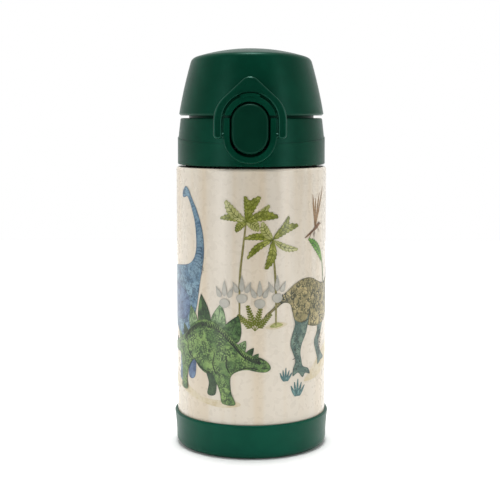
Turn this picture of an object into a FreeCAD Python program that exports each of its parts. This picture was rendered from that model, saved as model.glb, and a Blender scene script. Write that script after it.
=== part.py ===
"""Insulated straw bottle for a child, built piece by piece.

Millimetres. The bottle stands on z = 0 with its axis on +Z. The button and the carrying bail face -Y,
and the cap's hinge is at +Y.
"""
import FreeCAD, Part

import math
import os
import re

import Sketcher

V = FreeCAD.Vector
AXES = {"X": V(0, 1, 0), "Y": V(-1, 0, 0), "Z": V(0, 0, 1)}
AXIS_TURN = {"X": 90, "Y": 90, "Z": 0}
FLAT = 1e-4

# Driving dimensions: alias, value, meaning.
DIMENSIONS = [
    # Steel body
    ("body_radius", 36.0, "outside of the steel body"),
    ("steel_wall", 0.5, "thickness of both steel walls"),
    ("seat_radius", 35.2, "reduced radius of the shell under the boot"),
    ("seat_top", 13.7, "top of the reduced part"),
    ("shell_base_z", 3.2, "lower edge of the outer shell"),
    ("shoulder_z", 134.9, "top of the shoulder"),
    ("shoulder_round", 1.5, "rounding of the shoulder's edge"),
    ("neck_radius", 31.2, "outside of the threaded neck"),
    ("neck_round", 1.0, "rounding at the foot of the neck"),
    ("neck_top_z", 151.3, "where the two steel walls are welded"),
    ("rim_z", 152.0, "top of the mouth"),
    ("rim_round", 0.3, "rounding of the mouth"),
    ("liner_radius", 31.9, "outside of the inner vessel"),
    ("liner_neck_radius", 30.0, "outside of the inner vessel's neck"),
    ("liner_base_z", 10.3, "underside of the inner vessel"),
    ("liner_corner", 6.0, "corner radius of the inner vessel"),
    ("liner_cone_z", 127.0, "where the inner vessel starts to narrow"),
    ("liner_neck_z", 131.5, "where its neck starts"),
    # Thread
    ("lead", 4.0, "rise per turn of the thread"),
    ("thread_depth", 1.0, "height of each thread ridge"),
    ("ridge_foot", 0.9, "half width of a ridge at its foot"),
    ("ridge_crest", 0.35, "half width of a ridge at its crest"),
    ("neck_thread_z", 139.8, "lower start of the neck's ridge"),
    ("neck_thread_turns", 1.25, "turns of the neck's ridge"),
    ("collar_thread_drop", 1.6, "how far the collar's ridge starts below the neck's"),
    ("collar_thread_turns", 1.0, "turns of the collar's ridge"),
    ("thread_gap", 0.4, "radial clearance of the crests"),
    # Bottom
    ("bottom_flange", 4.0, "height of the welded disc's flange"),
    ("dome_rise", 2.4, "how far the disc's centre is pressed in"),
    ("plug_radius", 1.6, "hole closed by the vacuum plug"),
    ("getter_radius", 4.5, "getter pellet"),
    ("getter_height", 1.6, "getter pellet"),
    ("getter_offset", 12.0, "getter's distance from the axis"),
    # Boot
    ("boot_low_radius", 36.5, "boot near the floor"),
    ("boot_lip_radius", 37.4, "boot at its top"),
    ("boot_flare", 120.0, "radius of its slightly flared wall"),
    ("boot_top_z", 16.5, "top of the boot"),
    ("boot_corner", 3.0, "rounding at the floor"),
    ("boot_recess", 0.8, "depth of the underside's recess"),
    ("foot_radius", 27.0, "inside of the standing ring"),
    ("pad_radius", 7.0, "pad in the middle of the underside"),
    # Collar
    ("collar_radius", 35.3, "outside of the threaded collar"),
    ("collar_base_z", 135.8, "lower edge of the collar"),
    ("sleeve_radius", 33.5, "outside of the collar's upper sleeve"),
    ("sleeve_top_z", 155.0, "top of the sleeve, against the deck"),
    ("seam_z", 148.6, "seam between collar and housing, at the sides"),
    ("seam_tilt", 4.2, "degrees, the seam is lower at the front"),
    # Housing
    ("skirt_radius", 34.9, "outside of the housing at the seam"),
    ("deck_radius", 33.9, "outside of the housing at its top"),
    ("deck_top_z", 157.7, "top edge of the housing"),
    ("deck_z", 157.2, "upper face of the deck"),
    ("deck_under_z", 155.2, "underside of the deck"),
    ("deck_lip", 31.5, "inside of the deck's raised edge"),
    ("upstand_radius", 29.8, "outside of the ring that stands up inside the cap"),
    ("upstand_wall", 1.4, "its thickness"),
    ("upstand_top_z", 160.6, "its top"),
    ("plug_ring_radius", 28.6, "outside of the ring inside the mouth"),
    ("plug_ring_wall", 2.0, "its thickness"),
    ("plug_ring_z", 149.0, "its lower edge"),
    ("straw_radius", 3.3, "outside of the straw"),
    ("straw_wall", 0.9, "wall of the straw"),
    ("straw_foot_z", 13.5, "lower end of the straw"),
    ("straw_notch", 3.0, "depth of the notch in the straw's foot"),
    ("socket_radius", 5.2, "outside of the straw socket"),
    ("socket_z", 146.0, "lower end of the straw socket"),
    ("bore_radius", 3.05, "drinking bore"),
    ("spigot_radius", 4.4, "spigot that the spout is pushed on"),
    ("spigot_z", 163.0, "top of the spigot"),
    ("vent_x", -16.0, "vent, across"),
    ("vent_y", 4.0, "vent, towards the hinge"),
    ("vent_radius", 1.5, "vent hole"),
    # Front features, in a frame that leans back
    ("front_y", 38.6, "bezel's face in front of the axis"),
    ("front_z", 153.0, "height of the front frame's origin"),
    ("front_lean", 6.0, "degrees that the front features lean back"),
    ("bezel_radius", 11.9, "outside of the bezel"),
    ("bezel_opening", 9.2, "opening around the button"),
    ("bezel_low", -3.7, "centre of the bezel's lower round"),
    ("bezel_high", 3.0, "centre of the bezel's upper round"),
    ("bezel_inner", 33.9, "the bezel reaches in to this radius"),
    ("bezel_edge", 0.45, "rounding of the bezel's front edge"),
    ("pocket_depth", 4.0, "depth of the button's pocket"),
    ("nib_width", 0.7, "nib that holds the bail"),
    ("nib_height", 1.0, "how far the nib stands up"),
    ("button_radius", 8.3, "half width of the button"),
    ("button_low", -3.1, "centre of the button's lower round"),
    ("button_high", 3.0, "centre of its upper round"),
    ("button_proud", 0.3, "how far the button stands out of the bezel"),
    ("button_plate", 1.8, "thickness of the button's plate"),
    ("button_edge", 1.1, "rounding of the button's front edge"),
    ("pivot_up", -8.5, "button's pivot below the front frame's origin"),
    ("pivot_in", 2.1, "pivot behind the bezel's face"),
    ("button_pin_radius", 0.8, "button's pin"),
    ("button_pin_half", 9.2, "half length of the button's pin"),
    ("lug_radius", 1.6, "button's lugs"),
    ("running_gap", 0.06, "radial clearance of turning fits"),
    # Latch, in the bottle's frame
    ("hook_half", 3.0, "half width of the cap's hook"),
    ("hook_y", 34.4, "front of the hook, ahead of the axis"),
    ("hook_wall", 1.0, "thickness of the hook's shank"),
    ("hook_z", 156.9, "lower end of the hook"),
    ("hook_barb", 1.0, "depth of the barb"),
    ("barb_top_z", 158.0, "upper face of the barb"),
    ("catch_low_z", 158.4, "underside of the button's crossbar"),
    ("catch_top_z", 159.8, "top of the crossbar"),
    ("catch_inner", 3.6, "inside of the button's arms"),
    ("catch_outer", 5.0, "outside of the button's arms"),
    ("catch_front_y", 33.1, "front of the crossbar"),
    ("catch_back_y", 32.0, "back of the crossbar"),
    ("window_half", 5.6, "half width of the window in the cap"),
    ("window_top_z", 160.6, "top of the window in the cap"),
    ("window_front_y", 36.2, "front of the window"),
    ("window_back_y", 30.0, "back of the window"),
    # Bail
    ("bail_inner", 12.6, "inside of the bail"),
    ("bail_outer", 16.5, "outside of the bail's legs"),
    ("bail_arch", 3.6, "centre of the bail's inner arch"),
    ("bail_shoulder_x", 11.4, "shoulder, across"),
    ("bail_shoulder_up", 14.6, "shoulder, up"),
    ("bail_apex_x", 3.3, "end of the slope, across"),
    ("bail_apex_up", 22.2, "end of the slope, up"),
    ("bail_side_arc", 14.55, "radius from leg to slope"),
    ("bail_apex_arc", 4.82, "radius of the apex"),
    ("bail_front", -0.5, "front face, from the bezel's face"),
    ("bail_thick", 3.1, "thickness"),
    ("bail_edge", 0.9, "rounding of the bail's edges"),
    ("bail_foot_out", 1.9, "outer rounding of the feet"),
    ("bail_foot_in", 1.2, "inner rounding of the feet"),
    ("bail_pivot_up", -2.8, "pivot below the front frame's origin"),
    ("trunnion_radius", 1.2, "bail's trunnions"),
    ("trunnion_end", 10.2, "inner ends of the trunnions"),
    # Cap
    ("cap_base_z", 158.9, "lower edge of the cap"),
    ("cap_radius", 34.5, "outside of the cap at its lower edge"),
    ("cap_round", 0.8, "rounding of the lower edge"),
    ("cap_top_radius", 26.4, "outside of the cap's cone at cap_top_z"),
    ("cap_top_z", 192.0, "where the cone's outline ends"),
    ("cap_side_arc", 220.0, "radius of the slightly full side"),
    ("cap_wall", 2.0, "thickness of the cap"),
    ("dome_radius", 88.0, "domed top"),
    ("dome_y", -4.93, "centre of the dome"),
    ("dome_z", 102.3, "centre of the dome"),
    ("cap_rim_round", 3.0, "rounding between side and dome"),
    ("post_radius", 2.2, "posts that carry the cap's liner"),
    ("post_circle", 17.0, "their distance from the axis"),
    ("liner_top_z", 180.6, "top of the cap's liner"),
    ("liner_plate", 1.6, "its thickness"),
    ("cap_liner_radius", 27.4, "edge of the liner's plate"),
    ("cap_liner_skirt", 29.8, "lower edge of the liner's skirt"),
    ("cap_liner_low_z", 171.5, "lower edge of the liner's skirt"),
    ("seal_radius", 8.0, "pad over the spout"),
    ("seal_thick", 2.0, "its thickness"),
    ("seal_stem", 2.5, "stem through the liner"),
    # Spout
    ("spout_flange", 9.0, "foot of the spout"),
    ("spout_top_z", 176.7, "top of the spout"),
    ("spout_low_radius", 7.2, "spout above its foot"),
    ("spout_neck_radius", 6.0, "spout under its tip"),
    ("spout_tip", 1.6, "rounding of the tip"),
    # Hinge
    ("hinge_y", 37.2, "hinge axis behind the bottle's axis"),
    ("hinge_z", 153.6, "height of the hinge axis"),
    ("knuckle_radius", 3.4, "housing's knuckles"),
    ("cap_knuckle_radius", 3.2, "cap's knuckles"),
    ("hinge_half", 13.5, "half length of the hinge"),
    ("knuckle_inner", 9.5, "inner faces of the housing's knuckles"),
    ("arm_outer", 9.2, "outer faces of the cap's arms"),
    ("arm_inner", 5.1, "inner faces of the cap's arms"),
    ("hinge_web_top_z", 168.0, "where the cap's web meets its wall"),
    ("hinge_pin_radius", 1.2, "hinge pin"),
    ("hinge_pocket_z", 149.6, "floor of the hinge's pocket"),
    # Springs
    ("torsion_wire", 0.35, "radius of the hinge spring's wire"),
    ("torsion_coil", 2.15, "mean radius of its coil"),
    ("torsion_half", 3.6, "half length of its coil"),
    ("torsion_turns", 7.0, "its turns"),
    ("press_wire", 0.22, "radius of the button spring's wire"),
    ("press_coil", 1.9, "mean radius of its coil"),
    ("press_turns", 3.0, "its turns"),
    ("press_up", 0.6, "its height above the front frame's origin"),
    # Gasket
    ("gasket_inner", 28.9, "inside of the gasket"),
    ("gasket_outer", 32.2, "outside of the gasket"),
    ("gasket_gap", 0.1, "left open above and below the gasket"),
]

doc = FreeCAD.newDocument("StrawBottle")
dims = doc.addObject("Spreadsheet::Sheet", "dims")
for row, (alias, amount, meaning) in enumerate(DIMENSIONS, start=1):
    dims.set(f"A{row}", str(amount))
    dims.setAlias(f"A{row}", alias)
    dims.set(f"B{row}", meaning)
doc.recompute()
SIZE = {alias: amount for alias, amount, _ in DIMENSIONS}
ALIAS = re.compile(r"\b(" + "|".join(sorted(SIZE, key=len, reverse=True)) + r")\b")


def sized(text):
    """An expression for FreeCAD, with each alias read from the sheet."""
    return ALIAS.sub(r"dims.\1", str(text))


def number(text):
    """The value of an expression now, for a sketch's first shape."""
    return float(dims.evalExpression(ALIAS.sub(lambda found: str(SIZE[found.group(1)]), str(text))))


def bind(item, **properties):
    for name, text in properties.items():
        item.setExpression(name.replace("__", "."), sized(text))


def place(item, x="0", y="0", z="0"):
    bind(item, Placement__Base__x=x, Placement__Base__y=y, Placement__Base__z=z)
    return item


def lean(item):
    """Puts an item drawn about the origin into the frame that leans back with the bezel."""
    item.Placement = FreeCAD.Placement(V(0, 0, 0), FreeCAD.Rotation(V(-1, 0, 0), SIZE["front_lean"]))
    bind(item, Placement__Rotation__Angle="front_lean * 1 deg")
    return place(item, y="-front_y", z="front_z")


# ---------------------------------------------------------------- building blocks

def box(name, x, y, z):
    block = doc.addObject("Part::Box", name)
    bind(block, Length=f"({x[1]}) - ({x[0]})", Width=f"({y[1]}) - ({y[0]})", Height=f"({z[1]}) - ({z[0]})")
    return place(block, x[0], y[0], z[0])


def rod(name, radius, along, span, x="0", y="0", z="0"):
    """A cylinder along an axis, between two places on it."""
    cylinder = doc.addObject("Part::Cylinder", name)
    bind(cylinder, Radius=radius, Height=f"({span[1]}) - ({span[0]})")
    cylinder.Placement = FreeCAD.Placement(V(0, 0, 0), FreeCAD.Rotation(AXES[along], AXIS_TURN[along]))
    spot = {"X": x, "Y": y, "Z": z}
    spot[along] = span[0]
    return place(cylinder, spot["X"], spot["Y"], spot["Z"])


def join(name, *items):
    union = doc.addObject("Part::MultiFuse", name)
    union.Shapes = list(items)
    union.Refine = False
    return union


def cut(name, base, *tools):
    """base without the tools, which are joined first."""
    result = doc.addObject("Part::Cut", name)
    result.Base = base
    result.Tool = tools[0] if len(tools) == 1 else join(name + "_tools", *tools)
    result.Refine = False
    return result


def overlap(name, base, tool):
    result = doc.addObject("Part::Common", name)
    result.Base = base
    result.Tool = tool
    return result


def outline(body, name, corners, plane="XZ_Plane", offset=None):
    """A closed outline on one of a body's planes, every size bound to the sheet.

    A corner is (across, up), or (across, up, radius) where the edge to the next corner is an arc: it turns
    left for a positive radius and right for a negative one.
    """
    sketch = body.newObject("Sketcher::SketchObject", name)
    support = next(item for item in body.Origin.OriginFeatures if item.Role == plane)
    sketch.AttachmentSupport = [(support, "")]
    sketch.MapMode = "FlatFace"
    if offset is not None:
        bind(sketch, AttachmentOffset__Base__z=offset)
    points = [V(number(corner[0]), number(corner[1]), 0) for corner in corners]
    ends = []
    for index, corner in enumerate(corners):
        start, end = points[index], points[(index + 1) % len(points)]
        if len(corner) == 2:
            sketch.addGeometry(Part.LineSegment(start, end))
            ends.append((1, 2))
            continue
        radius = number(corner[2])
        chord = end - start
        rise = math.sqrt(max(radius ** 2 - (chord.Length / 2) ** 2, 0)) * math.copysign(1, radius)
        centre = (start + end) * 0.5 + V(-chord.y, chord.x, 0) * (rise / chord.Length)
        first, last = (start, end) if radius > 0 else (end, start)
        angles = [math.atan2(point.y - centre.y, point.x - centre.x) for point in (first, last)]
        circle = Part.Circle(centre, V(0, 0, 1), abs(radius))
        sketch.addGeometry(Part.ArcOfCircle(circle, angles[0], angles[1]))
        ends.append((1, 2) if radius > 0 else (2, 1))
    for index, (_, exit_end) in enumerate(ends):
        following = (index + 1) % len(ends)
        sketch.addConstraint(Sketcher.Constraint("Coincident", index, exit_end, following, ends[following][0]))
    for index, corner in enumerate(corners):
        spot = points[index]
        for kind, text, amount in (("DistanceX", corner[0], spot.x), ("DistanceY", corner[1], spot.y)):
            limit = sketch.addConstraint(Sketcher.Constraint(kind, -1, 1, index, ends[index][0], amount))
            sketch.setExpression(f"Constraints[{limit}]", sized(text))
        if len(corner) == 3:
            limit = sketch.addConstraint(Sketcher.Constraint("Radius", index, abs(number(corner[2]))))
            sketch.setExpression(f"Constraints[{limit}]", sized(f"abs({corner[2]})"))
    return sketch


def turned(name, corners):
    """A body turned about the bottle's axis; corners are (radius, height)."""
    body = doc.addObject("PartDesign::Body", name)
    sketch = outline(body, name + "_outline", corners)
    revolution = body.newObject("PartDesign::Revolution", name + "_turned")
    revolution.Profile = sketch
    revolution.ReferenceAxis = (sketch, ["V_Axis"])
    revolution.Angle = 360
    return body


def thread(body, name, foot, crest, start_z, turns):
    """A helical ridge on a turned body, from its foot radius to its crest radius."""
    sketch = outline(body, name + "_outline", [
        (foot, f"{start_z} - ridge_foot"),
        (crest, f"{start_z} - ridge_crest"),
        (crest, f"{start_z} + ridge_crest"),
        (foot, f"{start_z} + ridge_foot"),
    ])
    helix = body.newObject("PartDesign::AdditiveHelix", name)
    helix.Profile = sketch
    helix.ReferenceAxis = (sketch, ["V_Axis"])
    helix.Mode = "pitch-turns-angle"
    helix.Angle = 0
    bind(helix, Pitch="lead", Turns=turns)


def plate(name, corners, back, thickness, front_edge=None, edge=None):
    """A flat piece in the leaning frame: its back's distance from the bezel's face, and its thickness.

    front_edge rounds the edges of its front face, and edge those of both faces.
    """
    body = doc.addObject("PartDesign::Body", name)
    sketch = outline(body, name + "_outline", corners, offset=back)
    pad = body.newObject("PartDesign::Pad", name + "_pad")
    pad.Profile = sketch
    bind(pad, Length=thickness)
    doc.recompute()
    front_y = pad.Shape.BoundBox.YMin
    rounded = []
    for index, part in enumerate(pad.Shape.Edges, start=1):
        limits = part.BoundBox
        if limits.YLength < FLAT and (edge or (front_edge and limits.YMin < front_y + FLAT)):
            rounded.append(f"Edge{index}")
    if rounded:
        dress = body.newObject("PartDesign::Fillet", name + "_edge")
        dress.Base = (pad, rounded)
        bind(dress, Radius=edge or front_edge)
    return lean(body)


def stadium(radius, low, high):
    """Outline of an upright stadium, anticlockwise from the right-hand side."""
    return [
        (radius, high, radius + " * 1.0000001"), (f"-({radius})", high),
        (f"-({radius})", low, radius + " * 1.0000001"), (radius, low),
    ]


def in_front(name, *items):
    """Items drawn about the origin, joined and put into the leaning frame."""
    return lean(join(name, *items))


pieces = {}


def piece(node, item):
    item.Label = node
    pieces[node] = item


# ---------------------------------------------------------------- steel body

def outer_shell():
    inside = "body_radius - steel_wall"
    shell = turned("shell_body", [
        ("seat_radius", "shell_base_z"),
        ("seat_radius", "seat_top"),
        ("body_radius", "seat_top + body_radius - seat_radius"),
        ("body_radius", "shoulder_z - shoulder_round", "shoulder_round"),
        ("body_radius - shoulder_round", "shoulder_z"),
        ("neck_radius + neck_round", "shoulder_z", "-neck_round"),
        ("neck_radius", "shoulder_z + neck_round"),
        ("neck_radius", "neck_top_z"),
        ("neck_radius - steel_wall", "neck_top_z"),
        ("neck_radius - steel_wall", "shoulder_z + neck_round", "neck_round + steel_wall"),
        ("neck_radius + neck_round", "shoulder_z - steel_wall"),
        ("body_radius - shoulder_round", "shoulder_z - steel_wall", "-(shoulder_round - steel_wall)"),
        (inside, "shoulder_z - shoulder_round"),
        (inside, "seat_top + body_radius - seat_radius + steel_wall / 2"),
        ("seat_radius - steel_wall", "seat_top + steel_wall / 2"),
        ("seat_radius - steel_wall", "shell_base_z"),
    ])
    thread(shell, "neck_thread", "neck_radius - 0.3", "neck_radius + thread_depth", "neck_thread_z",
           "neck_thread_turns")
    piece("outer_shell", shell)


def inner_liner():
    inside = "liner_radius - steel_wall"
    mouth = "liner_neck_radius - steel_wall"
    piece("inner_liner", turned("liner_body", [
        ("0", "liner_base_z"),
        ("liner_radius - liner_corner", "liner_base_z", "liner_corner"),
        ("liner_radius", "liner_base_z + liner_corner"),
        ("liner_radius", "liner_cone_z"),
        ("liner_neck_radius", "liner_neck_z"),
        ("liner_neck_radius", "neck_top_z"),
        ("neck_radius", "neck_top_z"),
        ("neck_radius", "rim_z - rim_round", "rim_round"),
        ("neck_radius - rim_round", "rim_z"),
        (mouth + " + rim_round", "rim_z", "rim_round"),
        (mouth, "rim_z - rim_round"),
        (mouth, "liner_neck_z - steel_wall / 3"),
        (inside, "liner_cone_z - steel_wall / 3"),
        (inside, "liner_base_z + liner_corner", "-(liner_corner - steel_wall)"),
        ("liner_radius - liner_corner", "liner_base_z + steel_wall"),
        ("0", "liner_base_z + steel_wall"),
    ]))


def shell_bottom():
    rim = "seat_radius - steel_wall"
    flange = "seat_radius - 2 * steel_wall"
    piece("shell_bottom", turned("bottom_body", [
        ("plug_radius", "shell_base_z + dome_rise"),
        ("foot_radius - 3", "shell_base_z + dome_rise"),
        ("foot_radius", "shell_base_z"),
        (rim, "shell_base_z"),
        (rim, "shell_base_z + bottom_flange"),
        (flange, "shell_base_z + bottom_flange"),
        (flange, "shell_base_z + steel_wall"),
        ("foot_radius + 0.3", "shell_base_z + steel_wall"),
        ("foot_radius - 2.7", "shell_base_z + dome_rise + steel_wall"),
        ("plug_radius", "shell_base_z + dome_rise + steel_wall"),
    ]))
    under = "shell_base_z + dome_rise"
    piece("vacuum_plug", turned("plug_body", [
        ("0", under + " - 0.9"),
        ("plug_radius + 1", under + " - 0.9"),
        ("plug_radius + 1.9", under + " - 0.4"),
        ("plug_radius + 1.9", under),
        ("plug_radius", under),
        ("plug_radius", under + " + steel_wall"),
        ("0", under + " + steel_wall"),
    ]))
    top = under + " + steel_wall"
    cup = rod("getter_cup", "getter_radius", "Z", (top, top + " + getter_height"), x="getter_offset")
    dish = rod("getter_dish", "getter_radius - 0.5", "Z",
               (top + " + getter_height - 0.5", top + " + getter_height + 1"), x="getter_offset")
    piece("getter", cut("getter_pellet", cup, dish))


def base_boot():
    piece("base_boot", turned("boot_body", [
        ("0", "0"),
        ("pad_radius", "0"),
        ("pad_radius + boot_recess", "boot_recess"),
        ("foot_radius - boot_recess", "boot_recess"),
        ("foot_radius", "0"),
        ("boot_low_radius - boot_corner", "0", "boot_corner * 1.02"),
        ("boot_low_radius", "boot_corner", "-boot_flare"),
        ("boot_lip_radius", "boot_top_z - 1.1", "0.9"),
        ("boot_lip_radius - 0.7", "boot_top_z"),
        ("body_radius + 0.35", "boot_top_z", "0.36"),
        ("body_radius", "boot_top_z - 0.35"),
        ("body_radius", "seat_top + body_radius - seat_radius"),
        ("seat_radius", "seat_top"),
        ("seat_radius", "shell_base_z"),
        ("0", "shell_base_z"),
    ]))


# ---------------------------------------------------------------- seal, collar and housing

def neck_gasket():
    low = "rim_z + gasket_gap"
    high = "deck_under_z - gasket_gap"
    piece("neck_gasket", turned("gasket_body", [
        ("gasket_inner", low + " + 0.4"),
        ("gasket_inner + 0.4", low),
        ("gasket_outer - 0.9", low),
        ("gasket_outer", low + " + 0.9"),
        ("gasket_outer", "(rim_z + deck_under_z) / 2", "-0.5"),
        ("gasket_outer", "(rim_z + deck_under_z) / 2 + 0.8"),
        ("gasket_outer", high + " - 0.3"),
        ("gasket_outer - 0.3", high),
        ("gasket_inner", high),
    ]))


def above_seam(name):
    """Everything above the sloping seam between collar and housing."""
    slab = doc.addObject("Part::Box", name)
    bind(slab, Length="4 * body_radius", Width="4 * body_radius", Height="2 * body_radius")
    slab.Placement = FreeCAD.Placement(V(0, 0, 0), FreeCAD.Rotation(V(1, 0, 0), SIZE["seam_tilt"]))
    bind(slab, Placement__Rotation__Angle="seam_tilt * 1 deg")
    return place(slab, "-2 * body_radius", "-2 * body_radius * cos(seam_tilt * 1 deg)",
                 "seam_z - 2 * body_radius * sin(seam_tilt * 1 deg)")


def bezel_outline(radius):
    """The bezel's lower round with straight sides that run up past the deck."""
    return [
        (radius, "8"), ("-(" + radius + ")", "8"),
        ("-(" + radius + ")", "bezel_low", radius + " * 1.0000001"), (radius, "bezel_low"),
    ]


def core(name, radius, low, high):
    return rod(name, radius, "Z", (low, high))


def hinge_room(name, half, inner="sleeve_radius - 0.2"):
    return box(name, ("-(" + half + ")", half), (inner, "hinge_y + 3 * knuckle_radius"),
               ("hinge_pocket_z", "deck_top_z + 10"))


def thread_collar():
    ring = turned("collar_ring", [
        ("sleeve_radius - 0.4", "collar_base_z + 0.2"),
        ("sleeve_radius + 0.2", "collar_base_z"),
        ("collar_radius - 0.4", "collar_base_z"),
        ("collar_radius", "collar_base_z + 0.4"),
        ("collar_radius - 0.05", "sleeve_top_z - 2"),
        ("sleeve_radius - 0.4", "sleeve_top_z - 2"),
    ])
    inner = "neck_radius + thread_depth + thread_gap"
    sleeve = turned("collar_sleeve", [
        (inner, "collar_base_z"),
        ("sleeve_radius", "collar_base_z"),
        ("sleeve_radius", "sleeve_top_z"),
        (inner, "sleeve_top_z"),
    ])
    thread(sleeve, "collar_thread", "neck_radius + thread_depth + thread_gap + 0.3", "neck_radius + thread_gap",
           "neck_thread_z - collar_thread_drop", "collar_thread_turns")
    bezel = plate("collar_notch_outline", bezel_outline("bezel_radius"), "-12", "20")
    notch = cut("collar_notch", bezel, core("notch_core", "bezel_inner", "collar_base_z - 5", "deck_top_z + 20"))
    trimmed = cut("collar_ring_trimmed", ring, above_seam("collar_seam"), notch,
                  hinge_room("collar_hinge_room", "hinge_half + 0.2", "sleeve_radius - 6"))
    piece("thread_collar", join("collar_joined", trimmed, sleeve))


def lid_housing():
    skirt = turned("housing_skirt", [
        ("sleeve_radius", "seam_z - 8"),
        ("skirt_radius + 0.5", "seam_z - 8"),
        ("skirt_radius", "seam_z"),
        ("deck_radius", "deck_top_z - 0.5"),
        ("deck_radius - 0.5", "deck_top_z"),
        ("deck_lip", "deck_top_z"),
        ("deck_lip - 0.5", "deck_z"),
        ("upstand_radius", "deck_z"),
        ("upstand_radius", "upstand_top_z"),
        ("upstand_radius - upstand_wall", "upstand_top_z"),
        ("upstand_radius - upstand_wall", "deck_z"),
        ("spigot_radius", "deck_z"),
        ("spigot_radius", "spigot_z - 0.4"),
        ("spigot_radius - 0.4", "spigot_z"),
        ("bore_radius", "spigot_z"),
        ("bore_radius", "deck_under_z"),
        ("straw_radius", "deck_under_z"),
        ("straw_radius", "socket_z"),
        ("socket_radius", "socket_z"),
        ("socket_radius", "deck_under_z"),
        ("plug_ring_radius - plug_ring_wall", "deck_under_z"),
        ("plug_ring_radius - plug_ring_wall", "plug_ring_z"),
        ("plug_ring_radius - 0.5", "plug_ring_z"),
        ("plug_ring_radius", "plug_ring_z + 0.5"),
        ("plug_ring_radius", "deck_under_z"),
        ("sleeve_radius", "deck_under_z"),
    ])
    shell = overlap("housing_above_seam", skirt,
                    join("housing_keep", above_seam("housing_seam"),
                         core("housing_core", "sleeve_radius - 1", "socket_z - 5", "spigot_z + 5")))
    bezel = plate("bezel_block", bezel_outline("bezel_radius"), "-12", "12", front_edge="bezel_edge")
    bezel = cut("bezel_trimmed", bezel,
                core("bezel_core", "bezel_inner", "collar_base_z - 5", "deck_top_z + 20"),
                box("bezel_above", ("-2 * bezel_radius", "2 * bezel_radius"), ("-2 * front_y", "0"),
                    ("deck_top_z", "deck_top_z + 20")),
                box("bezel_behind", ("-2 * bezel_radius", "2 * bezel_radius"), ("0", "2 * front_y"),
                    ("collar_base_z - 5", "deck_top_z + 20")))
    blocks = []
    knuckles = []
    for side, low, high in (("left", "-hinge_half", "-knuckle_inner"), ("right", "knuckle_inner", "hinge_half")):
        blocks.append(box(f"hinge_web_{side}", (low, high), ("sleeve_radius - 3.5", "hinge_y"),
                          ("hinge_z - knuckle_radius + 0.2", "deck_z - 0.3")))
        knuckles.append(rod(f"knuckle_{side}", "knuckle_radius", "X", (low, high), y="hinge_y", z="hinge_z"))
    webs = cut("hinge_webs", join("hinge_web_pair", *blocks),
               core("web_core", "sleeve_radius", "collar_base_z", "deck_under_z"))
    pocket = plate("button_pocket", bezel_outline("bezel_opening"), "-pocket_depth", "pocket_depth + 3")
    side_holes = in_front(
        "front_holes",
        rod("bail_holes", "trunnion_radius + running_gap", "X", ("trunnion_end - 0.2", "2 * bezel_radius"),
            y="bail_thick / 2 - bail_front", z="bail_pivot_up"),
        rod("bail_holes_left", "trunnion_radius + running_gap", "X", ("-2 * bezel_radius", "-trunnion_end + 0.2"),
            y="bail_thick / 2 - bail_front", z="bail_pivot_up"),
        rod("button_pin_hole", "button_pin_radius", "X", ("-button_pin_half", "button_pin_half"),
            y="pivot_in", z="pivot_up"))
    body = join("housing_joined", shell, bezel, webs)
    hinge_gap = hinge_room("housing_hinge_room", "(arm_outer + knuckle_inner) / 2 + 0.05")
    hook_slot = box("hook_slot", ("-hook_half - 0.6", "hook_half + 0.6"), ("-hook_y - 0.7", "-catch_back_y + 0.1"),
                    ("hook_z - 0.5", "deck_top_z + 3"))
    vent = rod("vent_hole", "vent_radius", "Z", ("deck_under_z - 1", "deck_z + 1"), x="vent_x", y="vent_y")
    cleared = cut("housing_cleared", body, hinge_gap, pocket, hook_slot, vent, side_holes)
    with_knuckles = join("housing_with_knuckles", cleared, *knuckles)
    pin_hole = rod("hinge_hole", "hinge_pin_radius", "X", ("-hinge_half - 1", "hinge_half + 1"),
                   y="hinge_y", z="hinge_z")
    piece("lid_housing", cut("housing_finished", with_knuckles, pin_hole))


def vent_valve():
    cap_r = "vent_radius + 0.9"
    skirt_r = "vent_radius + 2"
    stem = rod("vent_stem", "vent_radius", "Z", ("deck_under_z", "deck_z"), x="vent_x", y="vent_y")
    head = rod("vent_head", cap_r, "Z", ("deck_z", "deck_z + 0.7"), x="vent_x", y="vent_y")
    skirt = doc.addObject("Part::Cone", "vent_skirt")
    bind(skirt, Radius1=skirt_r, Radius2=cap_r, Height="0.9")
    place(skirt, "vent_x", "vent_y", "deck_under_z - 0.9")
    piece("vent_valve", join("vent_joined", stem, head, skirt))


# ---------------------------------------------------------------- spout and straw

def spout():
    piece("spout", turned("spout_body", [
        ("spigot_radius", "deck_z"),
        ("spout_flange", "deck_z"),
        ("spout_flange", "deck_z + 1.2"),
        ("spout_low_radius + 0.8", "deck_z + 1.6"),
        ("spout_low_radius", "deck_z + 2.6"),
        ("spout_neck_radius", "spout_top_z - 6"),
        ("spout_neck_radius + 0.3", "spout_top_z - 4"),
        ("spout_neck_radius + 0.3", "spout_top_z - spout_tip", "spout_tip * 1.01"),
        ("spout_neck_radius + 0.3 - spout_tip", "spout_top_z"),
        ("bore_radius + 0.3", "spout_top_z"),
        ("bore_radius", "spout_top_z - 0.4"),
        ("bore_radius", "spigot_z"),
        ("spigot_radius - 0.4", "spigot_z"),
        ("spigot_radius", "spigot_z - 0.4"),
    ]))


def straw():
    inner = "straw_radius - straw_wall"
    tube = turned("straw_tube", [
        (inner, "straw_foot_z"), ("straw_radius", "straw_foot_z"),
        ("straw_radius", "deck_under_z"), (inner, "deck_under_z"),
    ])
    notch = rod("straw_notch_tool", "straw_wall * 1.6", "X", ("-2 * straw_radius", "2 * straw_radius"),
                z="straw_foot_z")
    notch_across = rod("straw_notch_across", "straw_wall * 1.6", "Y", ("-2 * straw_radius", "2 * straw_radius"),
                       z="straw_foot_z")
    piece("straw", cut("straw_cut", tube, notch, notch_across))


# ---------------------------------------------------------------- cap

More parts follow.
